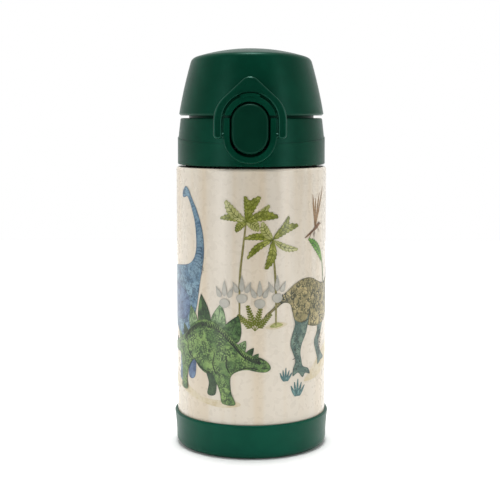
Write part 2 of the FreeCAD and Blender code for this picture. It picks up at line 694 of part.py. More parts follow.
def cap_form(name, inset, low):
    """The cap's outer form, or the same form moved in by a wall's thickness."""
    cone = turned(name + "_cone", [
        ("0", low),
        (f"cap_radius - cap_round - ({inset})", low),
        (f"cap_radius - ({inset})", "cap_base_z + cap_round", "cap_side_arc"),
        (f"cap_top_radius - ({inset})", "cap_top_z"),
        ("0", "cap_top_z"),
    ])
    ball = doc.addObject("Part::Sphere", name + "_dome")
    bind(ball, Radius=f"dome_radius - ({inset})")
    place(ball, "0", "dome_y", "dome_z")
    return overlap(name, cone, ball)


def rounded_rim(form):
    """Rounds the crisp edge where the cap's side meets its dome."""
    doc.recompute()
    edges = []
    for index, edge in enumerate(form.Shape.Edges, start=1):
        limits = edge.BoundBox
        if limits.ZMin > SIZE["liner_top_z"] and limits.XLength > SIZE["cap_top_radius"]:
            edges.append((index, SIZE["cap_rim_round"], SIZE["cap_rim_round"]))
    fillet = doc.addObject("Part::Fillet", "cap_rim")
    fillet.Base = form
    fillet.Edges = edges
    return fillet


def flip_cap():
    outside = rounded_rim(cap_form("cap_outside", "0", "cap_base_z"))
    hollow = cap_form("cap_hollow", "cap_wall", "cap_base_z - 2")
    arch = plate("arch_block", [
        ("bezel_radius", "bezel_high", "bezel_radius * 1.0000001"), ("-bezel_radius", "bezel_high"),
        ("-bezel_radius", "-2"), ("bezel_radius", "-2"),
    ], "-9", "9", front_edge="bezel_edge")
    arch = cut("arch_trimmed", arch,
               box("arch_below", ("-2 * bezel_radius", "2 * bezel_radius"), ("-2 * front_y", "front_y"),
                   ("front_z - 10", "cap_base_z")),
               cap_form("arch_core", "cap_wall / 2", "cap_base_z - 2"))
    opening = plate("arch_opening", [
        ("bezel_opening", "bezel_high", "bezel_opening * 1.0000001"), ("-bezel_opening", "bezel_high"),
        ("-bezel_opening", "-5"), ("bezel_opening", "-5"),
    ], "-pocket_depth + 0.4", "pocket_depth + 3")
    window = box("latch_window", ("-window_half", "window_half"), ("-window_front_y", "-window_back_y"),
                 ("cap_base_z - 2", "window_top_z"))
    nib_ring = lean(cut(
        "nib_ring",
        rod("nib_outside", "bezel_radius + nib_height", "Y", ("-0.2", "nib_width - 0.3"), z="bezel_high"),
        rod("nib_inside", "bezel_radius - 0.5", "Y", ("-1", "1"), z="bezel_high")))
    return outside, hollow, arch, opening, window, nib_ring


def hinge_arms():
    """The cap's two knuckles and the web that carries them, open in the middle for the spring."""
    body = doc.addObject("PartDesign::Body", "hinge_web")
    sketch = outline(body, "hinge_web_outline", [
        ("hinge_y - cap_knuckle_radius", "hinge_z", "cap_knuckle_radius * 1.0000001"),
        ("hinge_y + cap_knuckle_radius", "hinge_z"),
        ("hinge_y + cap_knuckle_radius", "hinge_z + 1", "8"),
        ("hinge_y + cap_knuckle_radius - 2", "hinge_z + 6.5"),
        ("sleeve_radius - 1.2", "hinge_web_top_z"),
        ("sleeve_radius - 1.2", "cap_base_z"),
        ("hinge_y - cap_knuckle_radius", "cap_base_z"),
    ], plane="YZ_Plane")
    pad = body.newObject("PartDesign::Pad", "hinge_web_pad")
    pad.Profile = sketch
    pad.SideType = "Symmetric"
    bind(pad, Length="2 * arm_outer")
    middle = ("-arm_inner", "arm_inner")
    return cut("hinge_arms", body,
               box("spring_room", middle, ("sleeve_radius - 2", "hinge_y + 2 * knuckle_radius"),
                   ("hinge_z - 2 * knuckle_radius", "hinge_z + 3")),
               box("spring_leg_room", middle, ("sleeve_radius - 2", "hinge_y - torsion_coil + torsion_wire + 0.05"),
                   ("hinge_z", "cap_base_z - 0.4")))


def finish_cap():
    outside, hollow, arch, opening, window, nib_ring = flip_cap()
    wedge = box("nib_span", ("-4.4", "4.4"), ("-2 * front_y", "0"), ("front_z + 5", "cap_top_z"))
    nib = overlap("nib", nib_ring, wedge)
    arms = cut("arms_trimmed", hinge_arms(), cap_form("arm_core", "cap_wall / 2", "cap_base_z - 2"))
    shell = cut("cap_shell", join("cap_with_front", outside, arch), hollow, opening, window)
    hook = join("hook",
                box("hook_shank", ("-hook_half", "hook_half"), ("-hook_y", "-hook_y + hook_wall"),
                    ("hook_z", "window_top_z + 0.8")),
                box("hook_barb", ("-hook_half", "hook_half"), ("-hook_y", "-hook_y + hook_wall + hook_barb"),
                    ("hook_z", "barb_top_z")))
    posts = []
    for index in range(3):
        turn = math.radians(90 + 120 * index)
        posts.append(rod(f"liner_post_{index}", "post_radius", "Z", ("liner_top_z", "liner_top_z + 8"),
                         x=f"post_circle * {math.cos(turn):.6f}", y=f"post_circle * {math.sin(turn):.6f}"))
    inside_cap = cap_form("post_limit", "cap_wall / 2", "cap_base_z")
    trimmed_posts = overlap("liner_posts", join("liner_post_set", *posts), inside_cap)
    whole = join("cap_joined", shell, hook, arms, trimmed_posts, nib)
    pin_hole = rod("cap_pin_hole", "hinge_pin_radius + running_gap", "X", ("-hinge_half", "hinge_half"),
                   y="hinge_y", z="hinge_z")
    piece("flip_cap", cut("cap_finished", whole, pin_hole))


def cap_liner():
    low = "liner_top_z - liner_plate"
    piece("cap_liner", turned("cap_liner_body", [
        ("seal_stem", low),
        ("cap_liner_radius - 1.1", low),
        ("cap_liner_skirt - 1.1", "cap_liner_low_z"),
        ("cap_liner_skirt", "cap_liner_low_z"),
        ("cap_liner_radius", "liner_top_z"),
        ("seal_stem", "liner_top_z"),
    ]))


def spout_seal():
    plate_low = "liner_top_z - liner_plate"
    low = plate_low + " - seal_thick"
    piece("spout_seal", turned("seal_body", [
        ("0", low + " + 0.3"),
        ("bore_radius - 0.5", low + " + 0.3"),
        ("bore_radius + 0.1", low),
        ("seal_radius - 0.5", low),
        ("seal_radius", low + " + 0.5"),
        ("seal_radius", plate_low),
        ("seal_stem", plate_low),
        ("seal_stem", "liner_top_z"),
        ("seal_stem + 1.2", "liner_top_z"),
        ("seal_stem + 0.4", "liner_top_z + 1.3"),
        ("0", "liner_top_z + 1.3"),
    ]))


# ---------------------------------------------------------------- hinge and button hardware

def coil(name, wire, radius, length, turns, placement, tails=()):
    """A round-wire coil about its own Z axis, with straight tails joined by their tangent."""
    helix = Part.makeHelix(length / turns, length, radius)
    spine = helix.Edges[0]
    start = spine.valueAt(spine.FirstParameter)
    tangent = spine.tangentAt(spine.FirstParameter)
    section = Part.Wire(Part.makeCircle(wire, start, tangent))
    solid = Part.Wire(helix.Edges).makePipeShell([section], True, True)
    for base, direction, reach in tails:
        solid = solid.fuse(Part.makeCylinder(wire, reach, base, direction))
    result = doc.addObject("Part::Feature", name)
    result.Shape = solid
    result.Placement = placement
    return result


def hinge_hardware():
    piece("hinge_pin", rod("hinge_pin_rod", "hinge_pin_radius", "X", ("-hinge_half", "hinge_half"),
                           y="hinge_y", z="hinge_z"))
    radius = SIZE["torsion_coil"]
    length = 2 * SIZE["torsion_half"]
    along_x = FreeCAD.Rotation(V(0, 1, 0), 90)
    base = V(-SIZE["torsion_half"], SIZE["hinge_y"], SIZE["hinge_z"])
    to_own = along_x.inverted()
    front = V(0, -radius, 0)
    lower = (to_own.multVec(front), to_own.multVec(V(0, 0, -1)), 3.2)
    upper = (to_own.multVec(front + V(length, 0, 0)), to_own.multVec(V(0, 0, 1)), 4.2)
    own = FreeCAD.Placement(base, along_x)
    helix_start = FreeCAD.Rotation(V(0, 0, 1), math.degrees(math.atan2(lower[0].y, lower[0].x)))
    back = helix_start.inverted()
    tails = [(back.multVec(spot), back.multVec(way), reach) for spot, way, reach in (lower, upper)]
    own = own.multiply(FreeCAD.Placement(V(0, 0, 0), helix_start))
    piece("hinge_spring", coil("torsion_spring", SIZE["torsion_wire"], radius, length, SIZE["torsion_turns"],
                               own, tails))


def push_button():
    face = plate("button_face", stadium("button_radius", "button_low", "button_high"),
                 "button_proud - button_plate", "button_plate", front_edge="button_edge")
    lugs = []
    for side, low, high in (("left", "-5.6", "-3.6"), ("right", "3.6", "5.6")):
        lugs.append(rod(f"button_lug_{side}", "lug_radius", "X", (low, high), y="pivot_in", z="pivot_up"))
    guide = rod("spring_guide", "press_coil - press_wire - 0.35", "Y", ("button_plate - button_proud - 0.1",
                "button_plate - button_proud + 0.8"), z="press_up")
    leaning = in_front("button_leaning", *lugs, guide)
    span = ("catch_low_z", "catch_top_z")
    reach = ("-front_y + 1.6", "-catch_back_y")
    arms = join("button_arms",
                box("button_arm_left", ("-catch_outer", "-catch_inner"), reach, span),
                box("button_arm_right", ("catch_inner", "catch_outer"), reach, span),
                box("crossbar", ("-catch_outer", "catch_outer"), ("-catch_front_y", "-catch_back_y"), span))
    hole = in_front("button_hole_placed",
                    rod("button_hole", "button_pin_radius + running_gap", "X", ("-8", "8"), y="pivot_in", z="pivot_up"),
                    rod("button_hole_inner", "button_pin_radius", "X", ("-7", "7"), y="pivot_in", z="pivot_up"))
    piece("push_button", cut("button_finished", join("button_joined", face, leaning, arms), hole))
    pin = in_front("button_pin_placed",
                   rod("button_pin_rod", "button_pin_radius", "X", ("-button_pin_half", "button_pin_half"),
                       y="pivot_in", z="pivot_up"),
                   rod("button_pin_core", "button_pin_radius / 2", "X", ("-button_pin_half", "button_pin_half"),
                       y="pivot_in", z="pivot_up"))
    piece("button_pin", pin)
    gap_start = SIZE["button_plate"] - SIZE["button_proud"] + SIZE["press_wire"] + 0.02
    gap_end = SIZE["pocket_depth"] - SIZE["press_wire"] - 0.02
    frame = FreeCAD.Placement(V(0, -SIZE["front_y"], SIZE["front_z"]),
                              FreeCAD.Rotation(V(-1, 0, 0), SIZE["front_lean"]))
    own = FreeCAD.Placement(V(0, gap_start, SIZE["press_up"]), FreeCAD.Rotation(V(-1, 0, 0), 90))
    piece("button_spring", coil("press_spring", SIZE["press_wire"], SIZE["press_coil"], gap_end - gap_start,
                                SIZE["press_turns"], frame.multiply(own)))


def lock_bail():
    side, shoulder, apex = "bail_outer", ("bail_shoulder_x", "bail_shoulder_up"), ("bail_apex_x", "bail_apex_up")
    foot = "bail_pivot_up - bail_thick / 2"
    hoop = plate("bail_hoop", [
        (side, foot + " + bail_foot_out"),
        (side, "bail_arch + 0.4", "bail_side_arc"),
        (*shoulder,),
        (*apex, "bail_apex_arc"),
        ("-" + apex[0], apex[1]),
        ("-" + shoulder[0], shoulder[1], "bail_side_arc"),
        ("-" + side, "bail_arch + 0.4"),
        ("-" + side, foot + " + bail_foot_out", "bail_foot_out"),
        ("bail_foot_out - bail_outer", foot),
        ("-bail_inner - bail_foot_in", foot, "bail_foot_in"),
        ("-bail_inner", foot + " + bail_foot_in"),
        ("-bail_inner", "bail_arch", "-bail_inner * 1.0000001"),
        ("bail_inner", "bail_arch"),
        ("bail_inner", foot + " + bail_foot_in", "bail_foot_in"),
        ("bail_inner + bail_foot_in", foot),
        ("bail_outer - bail_foot_out", foot, "bail_foot_out"),
    ], "bail_front - bail_thick", "bail_thick", edge="bail_edge")
    centre_y = "bail_thick / 2 - bail_front"
    trunnions = []
    for name, span in (
        ("left", ("-bail_inner - 0.5", "-trunnion_end")),
        ("right", ("trunnion_end", "bail_inner + 0.5")),
    ):
        trunnions.append(rod(f"trunnion_{name}", "trunnion_radius", "X", span, y=centre_y, z="bail_pivot_up"))
    piece("lock_bail", join("bail_joined", hoop, in_front("bail_trunnions", *trunnions)))


def check_and_write():
    doc.recompute()
    broken = [item.Name for item in doc.Objects if "Invalid" in item.State or "Error" in item.State]
    if broken:
        raise RuntimeError(f"objects that failed: {broken}")
    os.makedirs("parts", exist_ok=True)
    for node, item in pieces.items():
        shape = item.Shape
        if shape.isNull() or not shape.isValid():
            raise RuntimeError(f"{node} has no valid shape")
        shape.exportStep(f"parts/{node}.step")
        limits = shape.BoundBox
        print(f"{node:15s} solids {len(shape.Solids)} volume {shape.Volume:9.2f} "
              f"x {limits.XMin:7.2f} {limits.XMax:7.2f} y {limits.YMin:7.2f} {limits.YMax:7.2f} "
              f"z {limits.ZMin:7.2f} {limits.ZMax:7.2f}")


for build in (outer_shell, inner_liner, shell_bottom, base_boot, neck_gasket, thread_collar, lid_housing, vent_valve,
              spout, straw, finish_cap, cap_liner, spout_seal, hinge_hardware, push_button, lock_bail):
    build()
check_and_write()
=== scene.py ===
"""Looks of the child's straw bottle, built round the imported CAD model.

Metres, in the CAD's frame: the bottle's axis is +Z, the button faces -Y. The picture printed on the steel
is drawn in millimetres on the unrolled wall: across, from the front line to the right, and up from the floor.
"""

import math
import random

import bpy
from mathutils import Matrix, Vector
from mathutils.geometry import delaunay_2d_cdt, interpolate_bezier


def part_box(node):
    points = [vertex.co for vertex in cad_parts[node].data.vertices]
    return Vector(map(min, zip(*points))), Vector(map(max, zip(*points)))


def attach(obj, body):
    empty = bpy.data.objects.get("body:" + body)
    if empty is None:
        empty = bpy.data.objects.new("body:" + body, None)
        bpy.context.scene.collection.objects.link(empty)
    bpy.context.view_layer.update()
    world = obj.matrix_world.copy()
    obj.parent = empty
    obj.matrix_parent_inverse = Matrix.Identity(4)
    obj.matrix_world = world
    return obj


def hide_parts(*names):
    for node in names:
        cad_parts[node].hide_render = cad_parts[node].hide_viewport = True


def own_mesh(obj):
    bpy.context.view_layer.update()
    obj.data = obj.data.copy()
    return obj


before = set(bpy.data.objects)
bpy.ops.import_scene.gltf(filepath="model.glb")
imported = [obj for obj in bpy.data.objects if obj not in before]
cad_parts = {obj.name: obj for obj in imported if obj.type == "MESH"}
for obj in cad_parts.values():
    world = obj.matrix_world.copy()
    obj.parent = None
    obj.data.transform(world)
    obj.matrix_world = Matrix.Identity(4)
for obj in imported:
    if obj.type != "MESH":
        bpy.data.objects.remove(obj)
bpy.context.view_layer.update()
MM = 0.001

BOTTLE_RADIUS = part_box("outer_shell")[1].x
SHOULDER_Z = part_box("thread_collar")[0].z - 0.5 * MM   # where the coat meets the bare neck

# the print: how far its skins stand off the wall, the size of their triangles and the width of their rim
FIRST_LAYER = 0.05 * MM
LAYER = 0.035 * MM
GRID_MM = 1.3
RIM_MM = 1.0
SILVER_LAYER = 7
WELD_MM = 1e-5      # points nearer to each other than this are one point
INSIDE_ONLY = 1     # the triangulation's setting that keeps nothing outside the outline
TINY = 1e-12        # keeps a division by a length from failing

# plastics
PLASTIC_GLEAM = (0.3, 1.0, 0.78, 1.0)   # the highlights on the mouldings are green rather than white
PLASTIC_ROUGH_SPREAD = 0.16
FLOW_MM = 14
# metals
SCRATCH_MM = 0.5
METAL_ROUGH_SPREAD = 0.2
# silicone: how deep light goes, and how much of it
SOFT_DEPTH = 4 * MM
SOFT_WEIGHT = 0.35

# the stage, in metres
FLOOR_SIDE, FLOOR_FRONT = 0.9, 0.32
DIM, BRIGHT = 0.03, 1.0   # the room's light in front of the object, and behind it
ROOM_BLEND = 0.8          # it changes between directions whose Y is minus and plus this much
SUN_STRENGTH = 2.9
SUN_SPREAD = math.radians(16)
LIGHT_BOX_Z = 0.22
LIGHT_BOX_AIM = (0, 0, 0.1)

# the camera
LENS_MM = 82.4
CAMERA_DISTANCE = 0.5525
CAMERA_HEIGHT = 0.1584
CAMERA_TURN = math.radians(0.85)
CAMERA_YAW = math.radians(0.065)
CAMERA_DIP = math.radians(6.65)
LEVEL = math.radians(90)
CLIP_START = 0.01


# ---------------------------------------------------------------- materials

def rgb(red, green, blue):
    """A colour on the 0 to 255 display scale, as the shader's linear colour."""
    def linear(part):
        part /= 255
        return part / 12.92 if part <= 0.04045 else ((part + 0.055) / 1.055) ** 2.4
    return (linear(red), linear(green), linear(blue), 1.0)


class Shader:
    """A small helper that lays out the nodes of one material."""

    def __init__(self, name, roughness, metallic=0.0):
        self.material = bpy.data.materials.new(name)
        self.material.use_nodes = True
        self.tree = self.material.node_tree
        self.shader = self.tree.nodes["Principled BSDF"]
        self.shader.inputs["Roughness"].default_value = roughness
        self.shader.inputs["Metallic"].default_value = metallic
        self.place = self.node("ShaderNodeTexCoord").outputs["Object"]

    def node(self, kind, **settings):
        """Adds a node and sets its properties."""
        made = self.tree.nodes.new(kind)
        for key, value in settings.items():
            setattr(made, key, value)
        return made

    def link(self, source, target):
        self.tree.links.new(source, target)

    def feed(self, socket, value):
        """Links a socket to another node's output, or sets it to a plain value."""
        if isinstance(value, bpy.types.NodeSocket):
            self.link(value, socket)
        else:
            socket.default_value = value

    def stretched(self, across, deep, up):
        """The object's coordinates, scaled so that a texture is drawn out along the small factors."""
        mapping = self.node("ShaderNodeMapping")
        self.link(self.place, mapping.inputs["Vector"])
        mapping.inputs["Scale"].default_value = (across, deep, up)
        return mapping.outputs["Vector"]

    def noise(self, size_mm, detail, roughness=0.55, vector=None):
        """Cloudy noise from 0 to 1, with lumps of about the given size."""
        texture = self.node("ShaderNodeTexNoise")
        self.link(vector or self.place, texture.inputs["Vector"])
        texture.inputs["Scale"].default_value = 1 / (size_mm * MM)
        texture.inputs["Detail"].default_value = detail
        texture.inputs["Roughness"].default_value = roughness
        return texture.outputs["Fac"]

    def cells(self, size_mm):
        """The distance to the middle of the nearest cell, like scales."""
        texture = self.node("ShaderNodeTexVoronoi")
        self.link(self.place, texture.inputs["Vector"])
        texture.inputs["Scale"].default_value = 1 / (size_mm * MM)
        return texture.outputs["Distance"]

    def between(self, value, low, high):
        """0 below low, 1 above high and smooth in between."""
        ramp = self.node("ShaderNodeMapRange", interpolation_type="SMOOTHSTEP")
        self.link(value, ramp.inputs["Value"])
        ramp.inputs["From Min"].default_value = low
        ramp.inputs["From Max"].default_value = high
        return ramp.outputs["Result"]

    def calculate(self, operation, *values):
        """One step of arithmetic."""
        made = self.node("ShaderNodeMath", operation=operation)
        for socket, value in zip(made.inputs, values):
            self.feed(socket, value)
        return made.outputs[0]

    def times(self, first, second):
        return self.calculate("MULTIPLY", first, second)

    def spread(self, value, factor, lowest):
        """The value, times factor, on top of the lowest."""
        return self.calculate("MULTIPLY_ADD", value, factor, lowest)

    def mix(self, factor, first, second):
        """The first colour where factor is 0, the second where it is 1."""
        made = self.node("ShaderNodeMix", data_type="RGBA")
        self.feed(made.inputs["Factor"], factor)
        self.feed(made.inputs["A"], first)
        self.feed(made.inputs["B"], second)
        return made.outputs["Result"]

    def height(self):
        """Metres above the floor."""
        parts = self.node("ShaderNodeSeparateXYZ")
        self.link(self.place, parts.inputs[0])
        return parts.outputs["Z"]

    def attribute(self, name):
        """A number stored at the mesh's points."""
        return self.node("ShaderNodeAttribute", attribute_name=name).outputs["Fac"]

    def colour(self, socket):
        self.feed(self.shader.inputs["Base Color"], socket)

    def rough(self, socket):
        self.feed(self.shader.inputs["Roughness"], socket)

    def bump(self, height, depth_mm):
        """Lets the light see a relief of the given depth."""
        made = self.node("ShaderNodeBump")
        made.inputs["Distance"].default_value = depth_mm * MM
        made.inputs["Strength"].default_value = 1.0
        self.link(height, made.inputs["Height"])
        self.link(made.outputs["Normal"], self.shader.inputs["Normal"])


def moulded(name, dark, light, roughness, grain_mm=0.35, depth_mm=0.006, gloss=0.15):
    """Satin moulded plastic: flow marks in its colour and a fine spark-eroded grain."""
    paint = Shader(name, roughness)
    paint.shader.inputs["Specular IOR Level"].default_value = gloss
    paint.shader.inputs["Specular Tint"].default_value = PLASTIC_GLEAM
    flow = paint.between(paint.noise(FLOW_MM, 2), 0.3, 0.7)
    paint.colour(paint.mix(flow, dark, light))
    lowest = roughness - PLASTIC_ROUGH_SPREAD / 2
    paint.rough(paint.spread(paint.noise(1.6, 4), PLASTIC_ROUGH_SPREAD, lowest))
    paint.bump(paint.noise(grain_mm, 2), depth_mm)
    return paint.material


def metal(name, colour, roughness, across=1.0, up=1.0):
    """Metal with fine brushing: the noise is drawn out along the brush's way."""
    paint = Shader(name, roughness, metallic=1.0)
    grain = paint.noise(SCRATCH_MM, 4, 0.6, paint.stretched(across, across, up))
    worn = paint.between(grain, 0.35, 0.7)
    darker = tuple(part * 0.82 for part in colour[:3]) + (1.0,)
    paint.colour(paint.mix(worn, darker, colour))
    paint.rough(paint.spread(grain, METAL_ROUGH_SPREAD, roughness - METAL_ROUGH_SPREAD / 2))
    paint.bump(grain, 0.004)
    return paint.material


def soft(name, colour, roughness=0.45):
    """Silicone: slightly see-through, with a dusty bloom."""
    paint = Shader(name, roughness)
    bloom = paint.between(paint.noise(3, 4), 0.35, 0.75)
    lighter = tuple(min(part * 1.08, 1) for part in colour[:3]) + (1.0,)
    paint.colour(paint.mix(bloom, colour, lighter))
    paint.shader.inputs["Subsurface Weight"].default_value = SOFT_WEIGHT
    paint.shader.inputs["Subsurface Radius"].default_value = (SOFT_DEPTH, SOFT_DEPTH, SOFT_DEPTH)
    paint.bump(paint.noise(0.5, 2), 0.006)
    return paint.material


def coated_steel():
    """Cream coat with faint upright streaks, warm ones of painted reflection and fine darker ones of painted
    shade, ending at the shoulder, where the neck is bare.
    """
    paint = Shader("cream_coat", 0.28)
    cream = rgb(212, 203, 188)
    # the warm upright streaks are a painted reflection; the fine darker streaks are painted shade
    reflection_warm = rgb(207, 193, 171)
    shade = rgb(206, 197, 182)
    reflection_streak = paint.noise(9, 2, 0.5, paint.stretched(1, 1, 0.03))
    fine = paint.noise(2.4, 1, 0.4, paint.stretched(1, 1, 0.02))
    coat = paint.mix(paint.between(reflection_streak, 0.42, 0.72), cream, reflection_warm)
    coat = paint.mix(paint.times(paint.between(fine, 0.5, 0.75), 0.2), coat, shade)
    bare = paint.between(paint.height(), SHOULDER_Z - 0.6 * MM, SHOULDER_Z - 0.3 * MM)
    turned = paint.noise(SCRATCH_MM, 4, 0.6, paint.stretched(0.05, 0.05, 1))
    steel = paint.mix(turned, rgb(170, 168, 164), rgb(205, 203, 199))
    paint.colour(paint.mix(bare, coat, steel))
    paint.feed(paint.shader.inputs["Metallic"], bare)
    peel = paint.noise(3, 1)
    paint.rough(paint.spread(peel, 0.08, 0.24))
    paint.bump(peel, 0.004)
    return paint.material


def dress_cad():
    """Gives every CAD node its finish."""
    lid_green = moulded("lid_green", rgb(3, 50, 35), rgb(5, 57, 41), 0.36)
    finishes = {
        "outer_shell": coated_steel(),
        "inner_liner": metal("liner_steel", rgb(200, 198, 194), 0.3, across=0.05),
        "shell_bottom": metal("bottom_steel", rgb(190, 188, 184), 0.35, across=0.4, up=0.4),
        "getter": moulded("getter_grey", rgb(70, 68, 66), rgb(92, 90, 86), 0.7, 0.8, 0.05),
        "vacuum_plug": metal("plug_solder", rgb(150, 150, 148), 0.45),
        "base_boot": moulded("boot_green", rgb(5, 60, 44), rgb(8, 67, 50), 0.36, 0.5, 0.008, 0.2),
        "neck_gasket": soft("gasket_silicone", rgb(214, 216, 212)),
        "thread_collar": lid_green,
        "lid_housing": lid_green,
        "vent_valve": soft("valve_silicone", rgb(208, 212, 208)),
        "spout": soft("spout_silicone", rgb(222, 226, 220), 0.4),
        "straw": soft("straw_polypropylene", rgb(226, 228, 224), 0.3),
        "flip_cap": lid_green,
        "cap_liner": moulded("liner_green", rgb(12, 60, 44), rgb(16, 68, 51), 0.42),
        "spout_seal": soft("seal_silicone", rgb(206, 210, 206)),
        "hinge_pin": metal("pin_steel", rgb(196, 194, 190), 0.28, across=0.1),
        "hinge_spring": metal("spring_steel", rgb(176, 174, 170), 0.3),
        "push_button": moulded("button_green", rgb(3, 42, 29), rgb(5, 46, 32), 0.42, gloss=0.18),
        # near-black pin: painted shade, so the pin seen beside the button's lower end reads as the dark gap
        "button_pin": metal("pin_painted_gap_shade", rgb(40, 40, 42), 0.4, across=0.1),
        "button_spring": metal("button_spring_steel", rgb(176, 174, 170), 0.3),
        "lock_bail": moulded("bail_green", rgb(3, 48, 34), rgb(6, 54, 39), 0.3, gloss=0.4),
    }
    for node, finish in finishes.items():
        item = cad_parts[node]
        for index in range(max(len(item.data.materials), 1)):
            if len(item.data.materials) <= index:
                item.data.materials.append(finish)
            else:
                item.data.materials[index] = finish


def press_spring():
    """The button's spring: a copy of its CAD mesh that rides on the lid, while the CAD node is hidden."""
    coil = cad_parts["button_spring"].data.copy()
    coil.name = "press_spring"
    piece = bpy.data.objects.new("press_spring", coil)
    bpy.context.scene.collection.objects.link(piece)
    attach(piece, "lid")
    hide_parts("button_spring")
    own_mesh(piece)


def watercolour(name, dark, middle, light, cell_mm, speckle, wash=False):
    """Printed watercolour: pooled colour at the edges, blooms inside, and fine dark speckles like scales.

    A wash is a pale stain on the ground, whose edge fades into the coat.
    """
    paint = Shader(name, 0.3)
    bloom = paint.between(paint.noise(6, 4, 0.6), 0.4, 0.6)
    colour = paint.mix(bloom, middle, light)
    shade = paint.between(paint.noise(2.6, 4, 0.65), 0.48, 0.64)
    colour = paint.mix(paint.times(shade, 0.6), colour, dark)
    scales = paint.between(paint.cells(cell_mm), 0.36, 0.62)
    broken = paint.between(paint.noise(3.2, 2), 0.38, 0.56)
    scales = paint.times(paint.times(scales, broken), speckle)
    colour = paint.mix(scales, colour, dark)
    edge = paint.between(paint.attribute("rim"), 0.0, 0.5)
    pooled = rgb(200, 188, 160) if wash else dark
    strength = 0.35 if wash else 0.75
    edge = paint.times(paint.calculate("SUBTRACT", 1.0, edge), strength)
    paint.colour(paint.mix(edge, colour, pooled))
    return paint.material


# ---------------------------------------------------------------- drawing on the wall

def on_wall(across, up, layer):
    """A point of the picture, on the bottle's wall."""
    radius = BOTTLE_RADIUS + FIRST_LAYER + layer * LAYER
    turn = across * MM / BOTTLE_RADIUS
    return Vector((radius * math.sin(turn), -radius * math.cos(turn), up * MM))


def smooth(points, steps=5, closed=True):
    """A Catmull-Rom curve through the points."""
    count = len(points)
    spans = count if closed else count - 1
    made = []
    for index in range(spans):
        if closed:
            before, start, end, after = (Vector(points[(index + shift) % count]) for shift in (-1, 0, 1, 2))
        else:
            start, end = Vector(points[index]), Vector(points[index + 1])
            before = Vector(points[index - 1]) if index else start
            after = Vector(points[index + 2]) if index + 2 < count else end
        first, second = start + (end - before) / 6, end - (after - start) / 6
        span = interpolate_bezier(start, first, second, end, steps + 1)
        made.extend(point.to_2d() for point in span[:-1])
    if not closed:
        made.append(Vector(points[-1]).to_2d())
    return made


def distance_to(point, line):
    """The shortest distance from a point to a closed line."""
    best = math.inf
    for index, start in enumerate(line):
        way = line[(index + 1) % len(line)] - start
        share = max(0.0, min(1.0, (point - start).dot(way) / max(way.length_squared, TINY)))
        best = min(best, (point - start - way * share).length_squared)
    return math.sqrt(best)


class Picture:
    """One printed motif: flat shapes wrapped on the wall, each a thin skin at the height of its layer."""

    def __init__(self, name, shift=(0, 0), scale=1.0, flip=False):
        self.name = name
        self.shift = Vector(shift)
        self.scale = scale
        self.side = -1 if flip else 1
        self.points, self.faces, self.rims, self.kinds = [], [], [], []
        self.materials = []

    def place(self, point):
        """From the motif's own millimetres to those of the unrolled wall."""
        return Vector((point[0] * self.side, point[1])) * self.scale + self.shift

    def shape(self, outline, paint, layer, rounded=True):
        """Fills a closed outline; rounded outlines are curves through their points."""
        line = smooth(outline) if rounded else [Vector(point) for point in outline]
        line = [self.place(point) for point in line]
        low = [min(point[axis] for point in line) for axis in (0, 1)]
        high = [max(point[axis] for point in line) for axis in (0, 1)]
        inner = []
        rows = int((high[1] - low[1]) / GRID_MM) + 1
        columns = int((high[0] - low[0]) / GRID_MM) + 1
        for row in range(rows):
            for column in range(columns):
                across = low[0] + (column + 0.5 * (row % 2)) * GRID_MM
                inner.append(Vector((across, low[1] + row * GRID_MM)))
        edges = [(index, (index + 1) % len(line)) for index in range(len(line))]
        spots, _, faces, _, _, _ = delaunay_2d_cdt(line + inner, edges, [], INSIDE_ONLY, WELD_MM)
        start = len(self.points)
        if paint not in self.materials:
            self.materials.append(paint)
        kind = self.materials.index(paint)
        for spot in spots:
            self.points.append(on_wall(spot.x, spot.y, layer))
            self.rims.append(min(distance_to(spot, line), RIM_MM))
        for face in faces:
            self.faces.append([start + index for index in face])
            self.kinds.append(kind)

    def stroke(self, points, width, paint, layer, tip=0.25):
        """A brush stroke along a curve, thin at its ends."""
        line = smooth(points, 4, closed=False)
        left, right = [], []
        for index, point in enumerate(line):
            ahead = line[min(index + 1, len(line) - 1)] - line[max(index - 1, 0)]
            side = Vector((-ahead.y, ahead.x)).normalized()
            share = index / (len(line) - 1)
            half = width / 2 * (tip + (1 - tip) * math.sin(math.pi * min(max(share, 0.04), 0.96)))
            left.append(point + side * half)
            right.append(point - side * half)
        self.shape(right + left[::-1], paint, layer, rounded=False)

    def finish(self):
        """Makes the piece; rim is each point's distance from its shape's edge, in mm, up to RIM_MM."""
        mesh = bpy.data.meshes.new(self.name)
        mesh.from_pydata(self.points, [], self.faces)
        for paint in self.materials:
            mesh.materials.append(paint)
        mesh.polygons.foreach_set("material_index", self.kinds)
        mesh.polygons.foreach_set("use_smooth", [True] * len(self.kinds))
        rim = mesh.attributes.new("rim", "FLOAT", "POINT")
        rim.data.foreach_set("value", self.rims)
        mesh.update()
        outward = 0
        for face in mesh.polygons:
            outward += face.normal.x * face.center.x + face.normal.y * face.center.y
        if outward < 0:
            mesh.flip_normals()
        piece = bpy.data.objects.new(self.name, mesh)
        bpy.context.collection.objects.link(piece)
        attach(piece, "bottle")


PAINTS = {}


